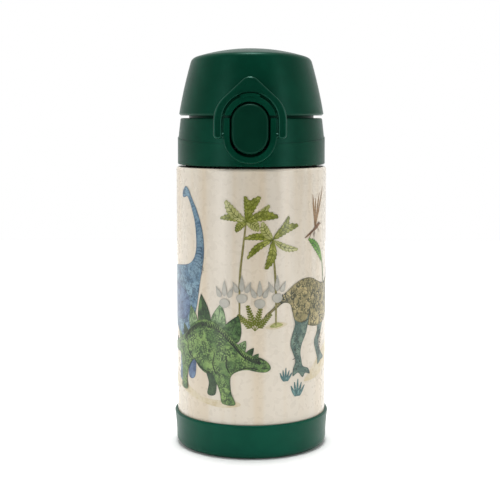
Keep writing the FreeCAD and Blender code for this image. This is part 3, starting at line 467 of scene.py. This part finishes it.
def mix_paints():
    """The print's colours: dark, middle and light tone, the speckles' size in mm and their strength."""
    for name, dark, middle, light, cell_mm, speckle in (
        ("blue", (44, 70, 92), (82, 116, 140), (124, 156, 172), 0.9, 0.6),
        ("blue_far", (44, 62, 90), (76, 98, 132), (104, 130, 158), 0.9, 0.4),
        ("blue_scale", (92, 124, 146), (150, 176, 188), (176, 196, 202), 0.8, 0.2),
        ("green", (32, 56, 28), (84, 118, 60), (128, 158, 86), 0.8, 0.9),
        ("green_far", (26, 44, 28), (48, 74, 46), (66, 92, 56), 0.8, 0.6),
        ("plate", (22, 44, 22), (44, 76, 36), (82, 116, 62), 1.0, 0.8),
        ("plate_pale", (40, 70, 34), (98, 132, 82), (146, 172, 124), 1.0, 0.6),
        ("olive", (70, 70, 42), (138, 128, 84), (182, 166, 116), 0.9, 1.0),
        ("shin", (44, 66, 62), (78, 104, 94), (112, 134, 118), 0.8, 0.6),
        ("leaf", (88, 96, 26), (134, 140, 56), (168, 170, 92), 1.0, 0.6),
        ("leaf_far", (128, 134, 66), (170, 170, 104), (190, 188, 136), 1.2, 0.3),
        ("vein", (74, 82, 22), (92, 100, 32), (108, 114, 44), 1.0, 0.1),
        ("trunk", (110, 106, 56), (150, 144, 92), (176, 168, 120), 0.9, 0.7),
        ("bright", (52, 100, 18), (92, 148, 36), (136, 182, 76), 0.9, 0.5),
        ("teal", (46, 88, 90), (88, 130, 128), (126, 158, 152), 0.9, 0.4),
        ("brown", (76, 44, 14), (126, 84, 38), (160, 116, 62), 0.6, 0.4),
        ("wing", (146, 110, 68), (178, 148, 108), (196, 172, 136), 1.2, 0.2),
        ("ink", (20, 30, 18), (30, 42, 24), (42, 54, 32), 1.0, 0.1),
        ("ink_blue", (24, 42, 58), (34, 56, 76), (46, 72, 94), 1.0, 0.1),
        ("silver", (156, 154, 145), (168, 166, 156), (178, 175, 164), 3, 0.1),
    ):
        PAINTS[name] = watercolour("print_" + name, rgb(*dark), rgb(*middle), rgb(*light), cell_mm, speckle)
    sand = (rgb(180, 162, 120), rgb(198, 184, 150), rgb(206, 195, 172))
    PAINTS["sand"] = watercolour("print_sand", *sand, 2.5, 0.1, wash=True)


def flecks(picture, inside, paint, count, seed, length, width):
    """Short hatching strokes scattered over rough ellipses (across, up, half width, half height)."""
    lean = 70   # degrees from level
    draw = random.Random(seed)
    for across, up, wide, tall in inside:
        for _ in range(count):
            turn, reach = draw.uniform(0, 2 * math.pi), math.sqrt(draw.random())
            x = across + math.cos(turn) * reach * wide
            y = up + math.sin(turn) * reach * tall
            slope = math.radians(lean + draw.uniform(-35, 35) + 40 * math.cos(turn))
            reach = length * draw.uniform(0.5, 1.2)
            way = (math.cos(slope) * reach / 2, math.sin(slope) * reach / 2)
            start, end = (x - way[0], y - way[1]), (x + way[0], y + way[1])
            picture.stroke([start, (x + 0.15, y), end], width, paint, 4)


# ---------------------------------------------------------------- motifs

def long_neck(name, shift):
    """A long-necked dinosaur that looks back over its shoulder; its front foot stands at the origin."""
    art = Picture(name, shift)
    art.shape([(-34, 1), (-22, 3), (-4, 1), (6, -1), (2, -3.4), (-18, -4), (-34, -2.5)], PAINTS["sand"], 0)
    art.shape([(-30, 26), (-31, 14), (-33, 3), (-27, 2.5), (-25, 12), (-22, 24)], PAINTS["blue_far"], 1)
    art.shape([(6, 30), (8, 16), (7, 3.5), (12, 3.5), (13, 14), (14, 30)], PAINTS["blue_far"], 1)
    art.shape([
        (5.0, 92.6), (3.2, 91.2), (2.0, 89.2), (2.4, 87.6), (4.4, 87.4), (6.6, 88.0), (8.8, 85.2),
        (10.6, 81.4), (12.4, 76.2), (13.2, 70), (13.2, 64), (11.4, 59.2), (7.4, 56.4), (0, 55.2),
        (-8, 54.4), (-17, 52.6), (-26, 48.6), (-35, 41), (-45, 30), (-57, 21.5), (-68, 18.5), (-58, 18.6),
        (-46, 22.5), (-37, 27), (-33, 25), (-31.6, 15), (-33, 3), (-26, 2.5), (-24, 12), (-21, 22),
        (-14, 24.5), (-6, 24), (-2.2, 18), (-1.6, 8), (-2, 0.6), (4.4, 0), (5.4, 9), (7.2, 19), (10.4, 28),
        (13.4, 37), (15.2, 46), (16.6, 53), (18.0, 60), (18.0, 68), (16.6, 75), (13.8, 82), (10.6, 87),
        (7.6, 91.4),
    ], PAINTS["blue"], 2)
    art.shape([(-24, 43), (-14, 46), (0, 45), (8, 40), (6, 31), (-4, 29), (-16, 30), (-26, 35)],
              PAINTS["blue_far"], 3)
    spine = smooth([(9.6, 86.2), (12.6, 80), (15.2, 72), (15.6, 64), (14.0, 57), (9.6, 50)], closed=False)
    for index in range(1, len(spine) - 1):
        way = (spine[index + 1] - spine[index - 1]).normalized()
        side = Vector((-way.y, way.x)) * (1.0 + 0.055 * index)
        spot = spine[index]
        art.stroke([spot - side + way * 0.4, spot, spot + side + way * 0.4], 0.55, PAINTS["blue_scale"], 4)
    art.stroke([(2.4, 89.0), (3.8, 89.3), (5.2, 89.0)], 0.3, PAINTS["ink_blue"], 5)
    art.shape([(4.4, 91.0), (4.8, 91.4), (5.2, 91.0), (4.8, 90.6)], PAINTS["ink_blue"], 5)
    flecks(art, [(16.8, 62, 1.0, 10), (8, 44, 6, 9), (-8, 42, 12, 8), (-27, 38, 9, 7), (2, 18, 3, 14)],
           PAINTS["ink_blue"], 26, 3, 1.2, 0.22)
    art.finish()


def kite(picture, foot, height, width, turn, paint, layer):
    """An upright back plate: a pointed oval that leans by turn degrees."""
    way = Vector((math.sin(math.radians(turn)), math.cos(math.radians(turn))))
    side = Vector((way.y, -way.x))
    spot = Vector(foot)
    parts = [(0, -0.1), (0.46, 0.02), (0.5, 0.3), (0.34, 0.66), (0.05, 1.0), (-0.05, 1.0), (-0.3, 0.7),
             (-0.5, 0.34), (-0.46, 0.02)]
    picture.shape([spot + side * (wide * width) + way * (up * height) for wide, up in parts], paint, layer)
    for share in (-0.3, 0, 0.3):
        start = spot + side * (share * width * 0.6) + way * (0.3 * height)
        end = spot + side * (share * width * 0.8) + way * ((0.82 - abs(share)) * height)
        picture.stroke([start, (start + end) / 2, end], 0.28, PAINTS["ink"], layer + 1)


def plated(name, shift, scale=1.0, flip=False):
    """A plated dinosaur that walks with its head low; its front foot stands at the origin."""
    art = Picture(name, shift, scale, flip)
    art.shape([(-33, 5), (-26, 6.4), (-16, 2.4), (-8, 1.6), (3, 1.4), (4.6, -0.6), (-4, -1.8),
               (-14, -0.6), (-26, 2.4)], PAINTS["sand"], 0)
    art.shape([(-12.4, 16), (-10.8, 9.6), (-11.6, 4), (-7.4, 4), (-6.4, 9.6), (-4.6, 15.6)],
              PAINTS["green_far"], 3)
    for foot, height, width, turn, paint in (
        ((-38, 24), 4.4, 3.2, -34, "plate"), ((-32, 26.6), 5.6, 4.2, -30, "plate_pale"),
        ((-26, 29.4), 6.4, 4.8, -24, "plate"), ((-19.8, 34.4), 10.4, 6.6, -13, "plate_pale"),
        ((-13.0, 37), 13.4, 7.2, -9, "plate"), ((-6.0, 36.4), 10.2, 7.4, 9, "plate_pale"),
        ((-0.4, 30.6), 11.6, 9.4, 22, "plate"), ((4.8, 25.6), 5.2, 4.4, 30, "plate_pale"),
        ((8.6, 23.4), 4.2, 3.0, 36, "plate"), ((11.6, 22), 2.8, 2.4, 40, "plate_pale"),
    ):
        kite(art, foot, height, width, turn, PAINTS[paint], 4)
    art.shape([
        (19.0, 17.0), (18.0, 19.6), (14.8, 22.0), (11, 23.0), (6.6, 25.6), (2.6, 29.8), (-2.2, 34.6),
        (-8, 38.4), (-14.6, 39.0), (-20.6, 36.2), (-25.4, 31.8), (-31, 28.8), (-39, 25.4), (-48, 23.2),
        (-58, 22.4), (-48, 20.8), (-39.5, 20.6), (-33, 20.4), (-31, 15.4), (-30.6, 9.6), (-31, 4.6),
        (-25.4, 4.2), (-25.8, 9.6), (-24, 14.8), (-20, 19.2), (-16.6, 16), (-12.6, 13.8), (-9, 13.4),
        (-6.6, 9.6), (-4.8, 5), (-3.6, 0.2), (2.6, 0), (0.8, 5.2), (0.2, 10.2), (0.8, 13.6), (4, 15.8),
        (8, 16.6), (13, 15.6), (16.8, 15.4),
    ], PAINTS["green"], 6)
    for along in (-44, -49, -54):
        art.stroke([(along, 22), (along - 1.6, 25), (along - 2.4, 28.6)], 1.1, PAINTS["plate"], 7, tip=0.1)
    art.stroke([(18.4, 16.8), (16.4, 17.4), (14.2, 17.2)], 0.4, PAINTS["ink"], 8)
    art.shape([(13.0, 19.9), (13.8, 20.6), (14.7, 19.9), (13.8, 19.3)], PAINTS["ink"], 8)
    art.stroke([(11.8, 21.2), (13.8, 21.8), (16, 20.6)], 0.5, PAINTS["ink"], 8)
    for points in ([(-19.6, 19.4), (-23.6, 22), (-25, 27)], [(-6.4, 13.6), (-8.4, 18), (-7.4, 23.6)],
                   [(0.6, 14), (-1.6, 18), (-1.4, 23)], [(-9, 13.8), (-14, 15.4), (-19.4, 19)],
                   [(3, 16.2), (9, 17.6), (14, 16.4)]):
        art.stroke(points, 0.6, PAINTS["ink"], 8)
    back = smooth([(14, 21.4), (7, 24.4), (1.6, 30), (-6, 36.6), (-14, 38), (-21, 34.8), (-27, 30)],
                  steps=9, closed=False)
    for spot in back[:-1]:
        art.stroke([spot, spot + Vector((-0.5, -1.4)), spot + Vector((0.1, -2.6))], 0.55, PAINTS["ink"], 8)
    flecks(art, [(-23, 28, 7, 6), (-12, 26, 9, 9), (-3, 22, 6, 8), (8, 20, 7, 3), (-1.4, 7, 2, 7),
                 (-28, 13, 2, 9), (-40, 23, 7, 1.6)], PAINTS["ink"], 44, 7, 1.3, 0.3)
    flecks(art, [(-12, 24, 8, 7), (-2, 18, 4, 6)], PAINTS["plate_pale"], 26, 8, 1.3, 0.4)
    art.finish()


def hunter(name, shift):
    """A two-legged dinosaur in stride; its near foot stands at the origin."""
    art = Picture(name, shift)
    art.shape([(2, -3), (5, 1), (14, 8), (22, 12), (34, 12), (28, 5), (14, -1.6)], PAINTS["sand"], 0)
    art.shape([(12.4, 27), (12, 20), (9.2, 15), (10.6, 10.4), (12.2, 6.8), (12.8, 3.4), (15.8, 4.8),
               (20, 5.8), (17, 8.4), (14.8, 11), (13.6, 14.8), (16.6, 19.6), (19, 27)], PAINTS["shin"], 1)
    art.shape([
        (-19, 30.0), (-15, 33.6), (-12.4, 37.4), (-8.4, 40.6), (-4.4, 43.6), (1, 45.8), (7, 45.6),
        (14, 43.0), (21, 42.4), (28, 46), (33, 53), (37, 59.4), (42, 63.4), (48, 64.4), (54, 62.4),
        (58.6, 58.8), (58.8, 56.8), (53, 56.6), (47.6, 55.8), (44, 52.4), (41, 46), (37, 38), (31, 30.6),
        (24, 25.4), (16, 22.8), (9, 22.4), (3, 24.0), (-2.6, 26), (-5.4, 30.4), (-6.8, 34.4),
        (-10.4, 35.2), (-14, 32.6), (-18.4, 29.2),
    ], PAINTS["olive"], 2)
    art.shape([(32, 36), (35.6, 32), (37.4, 27.4), (40, 26.6), (41.4, 28.6), (39.4, 32), (38, 38)],
              PAINTS["shin"], 3)
    art.shape([(-4.8, 31), (-4.0, 25), (-5.6, 20), (-6.6, 15.4), (-5, 11), (-3.8, 7.4), (-5.0, 3.8),
               (-5.2, 0.4), (-2.2, 1.8), (0.6, -0.8), (2.4, 1.0), (5.6, 0.2), (4.4, 3.0), (0.8, 4.6),
               (-0.2, 8), (-0.8, 11.4), (0.2, 15.4), (2.6, 19.6), (4.2, 25), (5, 31)], PAINTS["shin"], 4)
    art.shape([(-5.2, 33), (-4.6, 27.6), (-1, 25.4), (3, 26.4), (5.6, 31), (6, 37), (1, 41), (-4, 39)],
              PAINTS["olive"], 5)
    art.stroke([(58, 58.0), (53.6, 58.4), (49, 57.4)], 0.4, PAINTS["ink"], 6)
    art.shape([(50.6, 61.4), (51.3, 61.9), (52, 61.4), (51.3, 60.9)], PAINTS["ink"], 6)
    art.stroke([(5.4, 31), (4.2, 26.6), (-0.6, 25.2)], 0.5, PAINTS["ink"], 6)
    flecks(art, [(8, 36, 9, 8), (-1, 38, 5, 5), (-10, 37.4, 4, 2.4), (20, 34, 9, 8), (33, 44, 5, 8),
                 (1, 32, 5, 6), (-3, 12, 2, 9), (14, 14, 2, 8)], PAINTS["ink"], 40, 11, 1.3, 0.3)
    art.finish()


def leaf(picture, foot, end, width, paint, layer, bend, teeth=7):
    """A broad palm leaf: it bends a little, and its edge is fringed. Bend is a share of its length."""
    foot, end = Vector(foot), Vector(end)
    way = end - foot
    side = Vector((-way.y, way.x)).normalized()
    left, right = [], []
    for index in range(2 * teeth + 1):
        share = 0.1 + 0.9 * index / (2 * teeth)
        tooth = index % 2
        middle = foot + way * share + side * (way.length * bend * math.sin(math.pi * share) * 0.5)
        half = width / 2 * math.sin(math.pi * min(share, 0.985)) ** 0.6
        ragged = 1.0 if tooth else 0.78
        left.append(middle + side * half * ragged + way * (0.04 if tooth else 0))
        right.append(middle - side * half * ragged + way * (0.04 if tooth else 0))
    picture.shape([foot] + right + [end] + left[::-1], paint, layer, rounded=False)
    middle = foot + way * 0.5 + side * (way.length * bend * 0.5)
    vein = PAINTS["plate" if paint is PAINTS["bright"] else "vein"]
    picture.stroke([foot, middle, foot + way * 0.93], 0.3, vein, layer + 1)
    for share in (0.3, 0.45, 0.6, 0.75):
        spot = foot + way * share + side * (way.length * bend * math.sin(math.pi * share) * 0.5)
        for hand in (-1, 1):
            reach = side * hand * width * 0.3 + way * 0.08
            picture.stroke([spot, spot + reach * 0.5, spot + reach], 0.3, vein, layer + 1)


def palm(name, foot, crown, ends, width=5.2, bow=1.2):
    """A slim palm: its trunk bows a little and leaves spread from the crown to the given ends."""
    art = Picture(name)
    foot, crown = Vector(foot), Vector(crown)
    middle = (foot + crown) / 2 + Vector((-bow, 0))
    ground = ((-5, -0.8), (0, 1.6), (6, 0.4), (0, -1.8))
    grass = ((-3, -0.4), (0.2, 1.4), (3.6, 0.2), (0, -0.9))
    art.shape([foot + Vector(point) for point in ground], PAINTS["sand"], 0)
    art.shape([foot + Vector(point) for point in grass], PAINTS["leaf_far"], 1)
    lower, upper = (foot + middle) / 2 + Vector((-bow * 0.2, 0)), (middle + crown) / 2
    art.stroke([foot, lower, middle, upper, crown], 0.95, PAINTS["trunk"], 2, tip=0.7)
    for index, end in enumerate(ends):
        paint = PAINTS["leaf_far"] if index % 3 == 1 else PAINTS["leaf"]
        share, bend = (0.96, 0.22) if index % 2 else (0.74, -0.2)
        leaf(art, crown, end, width * share, paint, 3 + index % 3, bend)
    art.finish()


def fern(name, foot, scale=1.0):
    """A small fern: four fronds with paired leaflets."""
    art = Picture(name, foot, scale)
    for turn, reach in ((-46, 11), (-16, 12.5), (14, 12), (44, 11)):
        way = Vector((math.sin(math.radians(turn)), math.cos(math.radians(turn))))
        side = Vector((way.y, -way.x))
        art.stroke([(0, 0), way * reach * 0.5 + side * 0.3, way * reach], 0.55, PAINTS["leaf"], 1, tip=0.5)
        for step in range(2, 10):
            spot = way * (reach * step / 10)
            for hand in (-1, 1):
                end = spot + (side * hand * 0.9 + way * 0.7) * (2.3 - 0.14 * step)
                art.stroke([spot, (spot + end) / 2 + way * 0.15, end], 0.85, PAINTS["leaf"], 2, tip=0.35)
    art.finish()


def tuft(name, foot, scale=1.0):
    """A tuft of water plants."""
    art = Picture(name, foot, scale)
    for start, end in ((-2.2, -3.4), (-1.2, -1.6), (0, 0.2), (1.2, 2.2), (2.2, 4.0)):
        tall = 7.6 - abs(end) * 0.8
        art.stroke([(start * 0.5, 0), (start, tall * 0.45), (end, tall)], 1.1, PAINTS["teal"], 1, tip=0.3)
    for start, end in ((-1.8, -3), (0.4, 1.2), (1.8, 3.4)):
        art.stroke([(start * 0.6, 0.2), (start, 1.6), (end, 3.4)], 1.4, PAINTS["teal"], 2, tip=0.4)
    art.finish()


def dragonfly(name, spot, turn, scale=1.0):
    """A dragonfly with four narrow wings held up; turn is its body's slope in degrees."""
    art = Picture(name, spot, scale)
    way = Vector((math.cos(math.radians(turn)), math.sin(math.radians(turn))))
    for reach, slope in ((16, 97), (14, 88), (21, 67), (17, 76)):
        end = Vector((math.cos(math.radians(slope)), math.sin(math.radians(slope)))) * reach
        art.stroke([(0, 0), end * 0.55, end], 1.15, PAINTS["wing"], 1, tip=0.15)
        art.stroke([(0, 0), end * 0.5, end * 0.96], 0.22, PAINTS["brown"], 2)
    art.stroke([way * -8.5, way * -3, way * 1.5], 1.0, PAINTS["brown"], 3, tip=0.3)
    art.stroke([way * -1.5, way * 1.6, way * 5], 1.9, PAINTS["brown"], 3, tip=0.5)
    for start, slope in ((-2, -75), (0, -100), (-3, -125), (2, -50), (3, 10)):
        end = way * start + Vector((math.cos(math.radians(slope)), math.sin(math.radians(slope)))) * 4
        art.stroke([way * start, (way * start + end) / 2, end], 0.35, PAINTS["brown"], 4)
    art.finish()


def frond(name, foot, neck, end):
    """A single leaf, from the neck to the end of a long bent stalk."""
    art = Picture(name)
    paint = PAINTS["bright"]
    foot, neck, end = Vector(foot), Vector(neck), Vector(end)
    art.stroke([foot, (foot + neck) / 2 + Vector((0.6, 0)), neck, (neck + end) / 2], 0.8, paint, 1, tip=0.5)
    leaf(art, neck, end, 4.6, paint, 2, bend=-0.15, teeth=9)
    art.finish()


def toe(near, far):
    """The outline of a toe that ends in a claw; near is where it starts, far is the claw's root."""
    near, far = Vector(near), Vector(far)
    side = Vector((far.y - near.y, near.x - far.x)).normalized()
    claw = far + (far - near).normalized() * 1.3
    thick, slim = near.lerp(far, 0.25), near.lerp(far, 0.6)
    return [near, thick - side * 1.15, slim - side, far - side * 0.45, claw,
            far + side * 0.45, slim + side, thick + side * 1.15]


def footprints(name, start):
    """A row of three-toed footprints in silver, where a name could be printed."""
    art = Picture(name, start)
    count, pitch, sway = 4, 8.2, 1.2
    heel = [(0, -6.2), (-1.7, -5.6), (-2.5, -4.0), (-1.9, -2.5), (0, -1.9), (1.9, -2.5), (2.5, -4.0),
            (1.7, -5.6)]
    toes = [toe((-1.9, -1.4), (-3.7, 2.6)), toe((0, -0.9), (0, 5.4)), toe((1.9, -1.4), (3.7, 2.6))]
    for index in range(count):
        spot = Vector((index * pitch, sway if index % 2 else -sway))
        for outline in (heel, *toes):
            art.shape([spot + Vector(point) for point in outline], PAINTS["silver"], SILVER_LAYER)
    art.finish()


def glider(name, spot, scale=1.0, flip=False):
    """A winged reptile gliding, seen from the side."""
    art = Picture(name, spot, scale, flip)
    art.shape([(0, 0), (6, 3), (13, 9), (20, 16), (17, 8), (15, 2), (10, -1.6), (4, -2.4)],
              PAINTS["brown"], 1)
    art.shape([(-1, 0.4), (-8, 5), (-15, 12), (-20, 13), (-17, 6), (-11, 0), (-5, -2)], PAINTS["wing"], 1)
    art.shape([(-3, 0.6), (1, 1.2), (4.4, 3.4), (7.6, 5.4), (13, 5.0), (7.8, 3.4), (5.6, 1.4), (3, -1.6),
               (-3, -2.4), (-9, -4), (-4, -0.8)], PAINTS["olive"], 2)
    art.shape([(6.2, 4.2), (6.7, 4.6), (7.1, 4.2), (6.7, 3.8)], PAINTS["ink"], 3)
    art.finish()


def print_picture():
    """Lays the motifs round the wall, the front ones first."""
    mix_paints()
    palm("palm_left", (-4.8, 65.5), (-1.8, 111.0),
         [(-14, 112.4), (-11.4, 120.6), (-2.4, 122.6), (4.6, 122.4), (8.8, 118.6), (13, 113.0), (-6.6, 106.4),
          (4.0, 107.0)])
    palm("palm_right", (12.0, 63.0), (10.4, 102.6),
         [(-2.6, 103.2), (5.6, 110.8), (18.4, 113.2), (23.6, 108.8), (23.4, 97.8), (7.0, 89.2), (-1.2, 94.0)],
         width=4.8, bow=-0.6)
    fern("fern_front", (2.2, 60.8))
    dragonfly("dragonfly_front", (35.4, 106.6), 28)
    frond("frond_right", (46.4, 68.0), (43.4, 90.0), (30.4, 102.0))
    footprints("footprints", (-12.0, 78.6))
    long_neck("long_neck_left", (-41.0, 33.6))
    hunter("hunter_right", (26.0, 38.0))
    plated("plated_left", (-9.5, 26.0))
    tuft("tuft_front", (17.0, 36.4), 0.86)
    tuft("tuft_right", (23.6, 28.6), 1.1)
    palm("palm_back_left", (-86, 72), (-84, 108),
         [(-96, 107), (-93, 115), (-87, 120), (-79, 119), (-73, 111), (-74, 102), (-90, 99)])
    palm("palm_back_right", (103, 58), (101, 96),
         [(89, 97), (92, 105), (99, 110), (108, 108), (113, 99), (110, 90), (95, 88)], bow=-1.2)
    glider("glider_back", (-104, 120), 0.8)
    glider("glider_side", (72, 122), 0.55, flip=True)
    fern("fern_back", (96, 40), 1.1)
    fern("fern_side", (-64, 24), 0.9)
    tuft("tuft_back", (72, 28))
    tuft("tuft_side", (-96, 40), 1.1)
    plated("plated_back", (104, 26), 0.62, flip=True)
    frond("frond_back", (-109, 58), (-106, 80), (-99, 94))
    dragonfly("dragonfly_back", (88, 76), 120, 0.8)


# ---------------------------------------------------------------- stage

def stage():
    """A pale floor, wide behind the object and short in front of it."""
    floor = bpy.data.meshes.new("floor")
    corners = [(-FLOOR_SIDE, -FLOOR_FRONT, 0), (FLOOR_SIDE, -FLOOR_FRONT, 0),
               (FLOOR_SIDE, FLOOR_SIDE, 0), (-FLOOR_SIDE, FLOOR_SIDE, 0)]
    floor.from_pydata(corners, [], [(0, 1, 2, 3)])
    item = bpy.data.objects.new("floor", floor)
    bpy.context.collection.objects.link(item)
    paint = Shader("pale_floor", 0.6)
    paint.colour(rgb(252, 252, 251))
    floor.materials.append(paint.material)


def studio():
    """White to the camera's eye; as light, bright from behind the object and dim from the front."""
    world = bpy.data.worlds.new("studio")
    bpy.context.scene.world = world
    world.use_nodes = True
    tree = world.node_tree
    back = tree.nodes["Background"]
    seen = tree.nodes.new("ShaderNodeBackground")
    seen.inputs["Color"].default_value = (1, 1, 1, 1)
    where = tree.nodes.new("ShaderNodeTexCoord")
    parts = tree.nodes.new("ShaderNodeSeparateXYZ")
    tree.links.new(where.outputs["Generated"], parts.inputs[0])
    ramp = tree.nodes.new("ShaderNodeMapRange")
    ramp.interpolation_type = "SMOOTHSTEP"
    ramp.inputs["From Min"].default_value = -ROOM_BLEND
    ramp.inputs["From Max"].default_value = ROOM_BLEND
    ramp.inputs["To Min"].default_value = DIM
    ramp.inputs["To Max"].default_value = BRIGHT
    tree.links.new(parts.outputs["Y"], ramp.inputs["Value"])
    tree.links.new(ramp.outputs["Result"], back.inputs["Strength"])
    back.inputs["Color"].default_value = (1, 1, 1, 1)
    path = tree.nodes.new("ShaderNodeLightPath")
    mix = tree.nodes.new("ShaderNodeMixShader")
    tree.links.new(path.outputs["Is Camera Ray"], mix.inputs[0])
    tree.links.new(back.outputs[0], mix.inputs[1])
    tree.links.new(seen.outputs[0], mix.inputs[2])
    tree.links.new(mix.outputs[0], tree.nodes["World Output"].inputs["Surface"])


def lamp(name, spot, size, power):
    """A rectangular light box that faces the bottle."""
    data = bpy.data.lights.new(name, "AREA")
    data.shape = "RECTANGLE"
    data.size, data.size_y = size
    data.energy = power
    item = bpy.data.objects.new(name, data)
    bpy.context.collection.objects.link(item)
    item.location = spot
    item.rotation_euler = (Vector(LIGHT_BOX_AIM) - Vector(spot)).to_track_quat("-Z", "Y").to_euler()


def light():
    """Two tall boxes in front, left and right, and a soft light from straight above."""
    lamp("left_box", (-0.62, -0.62, LIGHT_BOX_Z), size=(0.28, 0.8), power=3.0)
    lamp("right_box", (0.72, -0.52, LIGHT_BOX_Z), size=(0.2, 0.8), power=2.7)
    sun = bpy.data.lights.new("overhead", "SUN")
    sun.energy = SUN_STRENGTH
    sun.angle = SUN_SPREAD
    bpy.context.collection.objects.link(bpy.data.objects.new("overhead", sun))


def camera():
    """The viewpoint: about 55 cm away, level with the lid and looking slightly down."""
    data = bpy.data.cameras.new("camera")
    data.lens = LENS_MM
    data.clip_start = CLIP_START
    item = bpy.data.objects.new("camera", data)
    bpy.context.collection.objects.link(item)
    across, away = math.sin(CAMERA_TURN), math.cos(CAMERA_TURN)
    item.location = (CAMERA_DISTANCE * across, -CAMERA_DISTANCE * away, CAMERA_HEIGHT)
    item.rotation_euler = (LEVEL - CAMERA_DIP, 0, CAMERA_TURN + CAMERA_YAW)
    bpy.context.scene.camera = item


camera()
stage()
studio()
light()
dress_cad()
press_spring()
print_picture()
bpy.context.scene.view_settings.view_transform = "Standard"
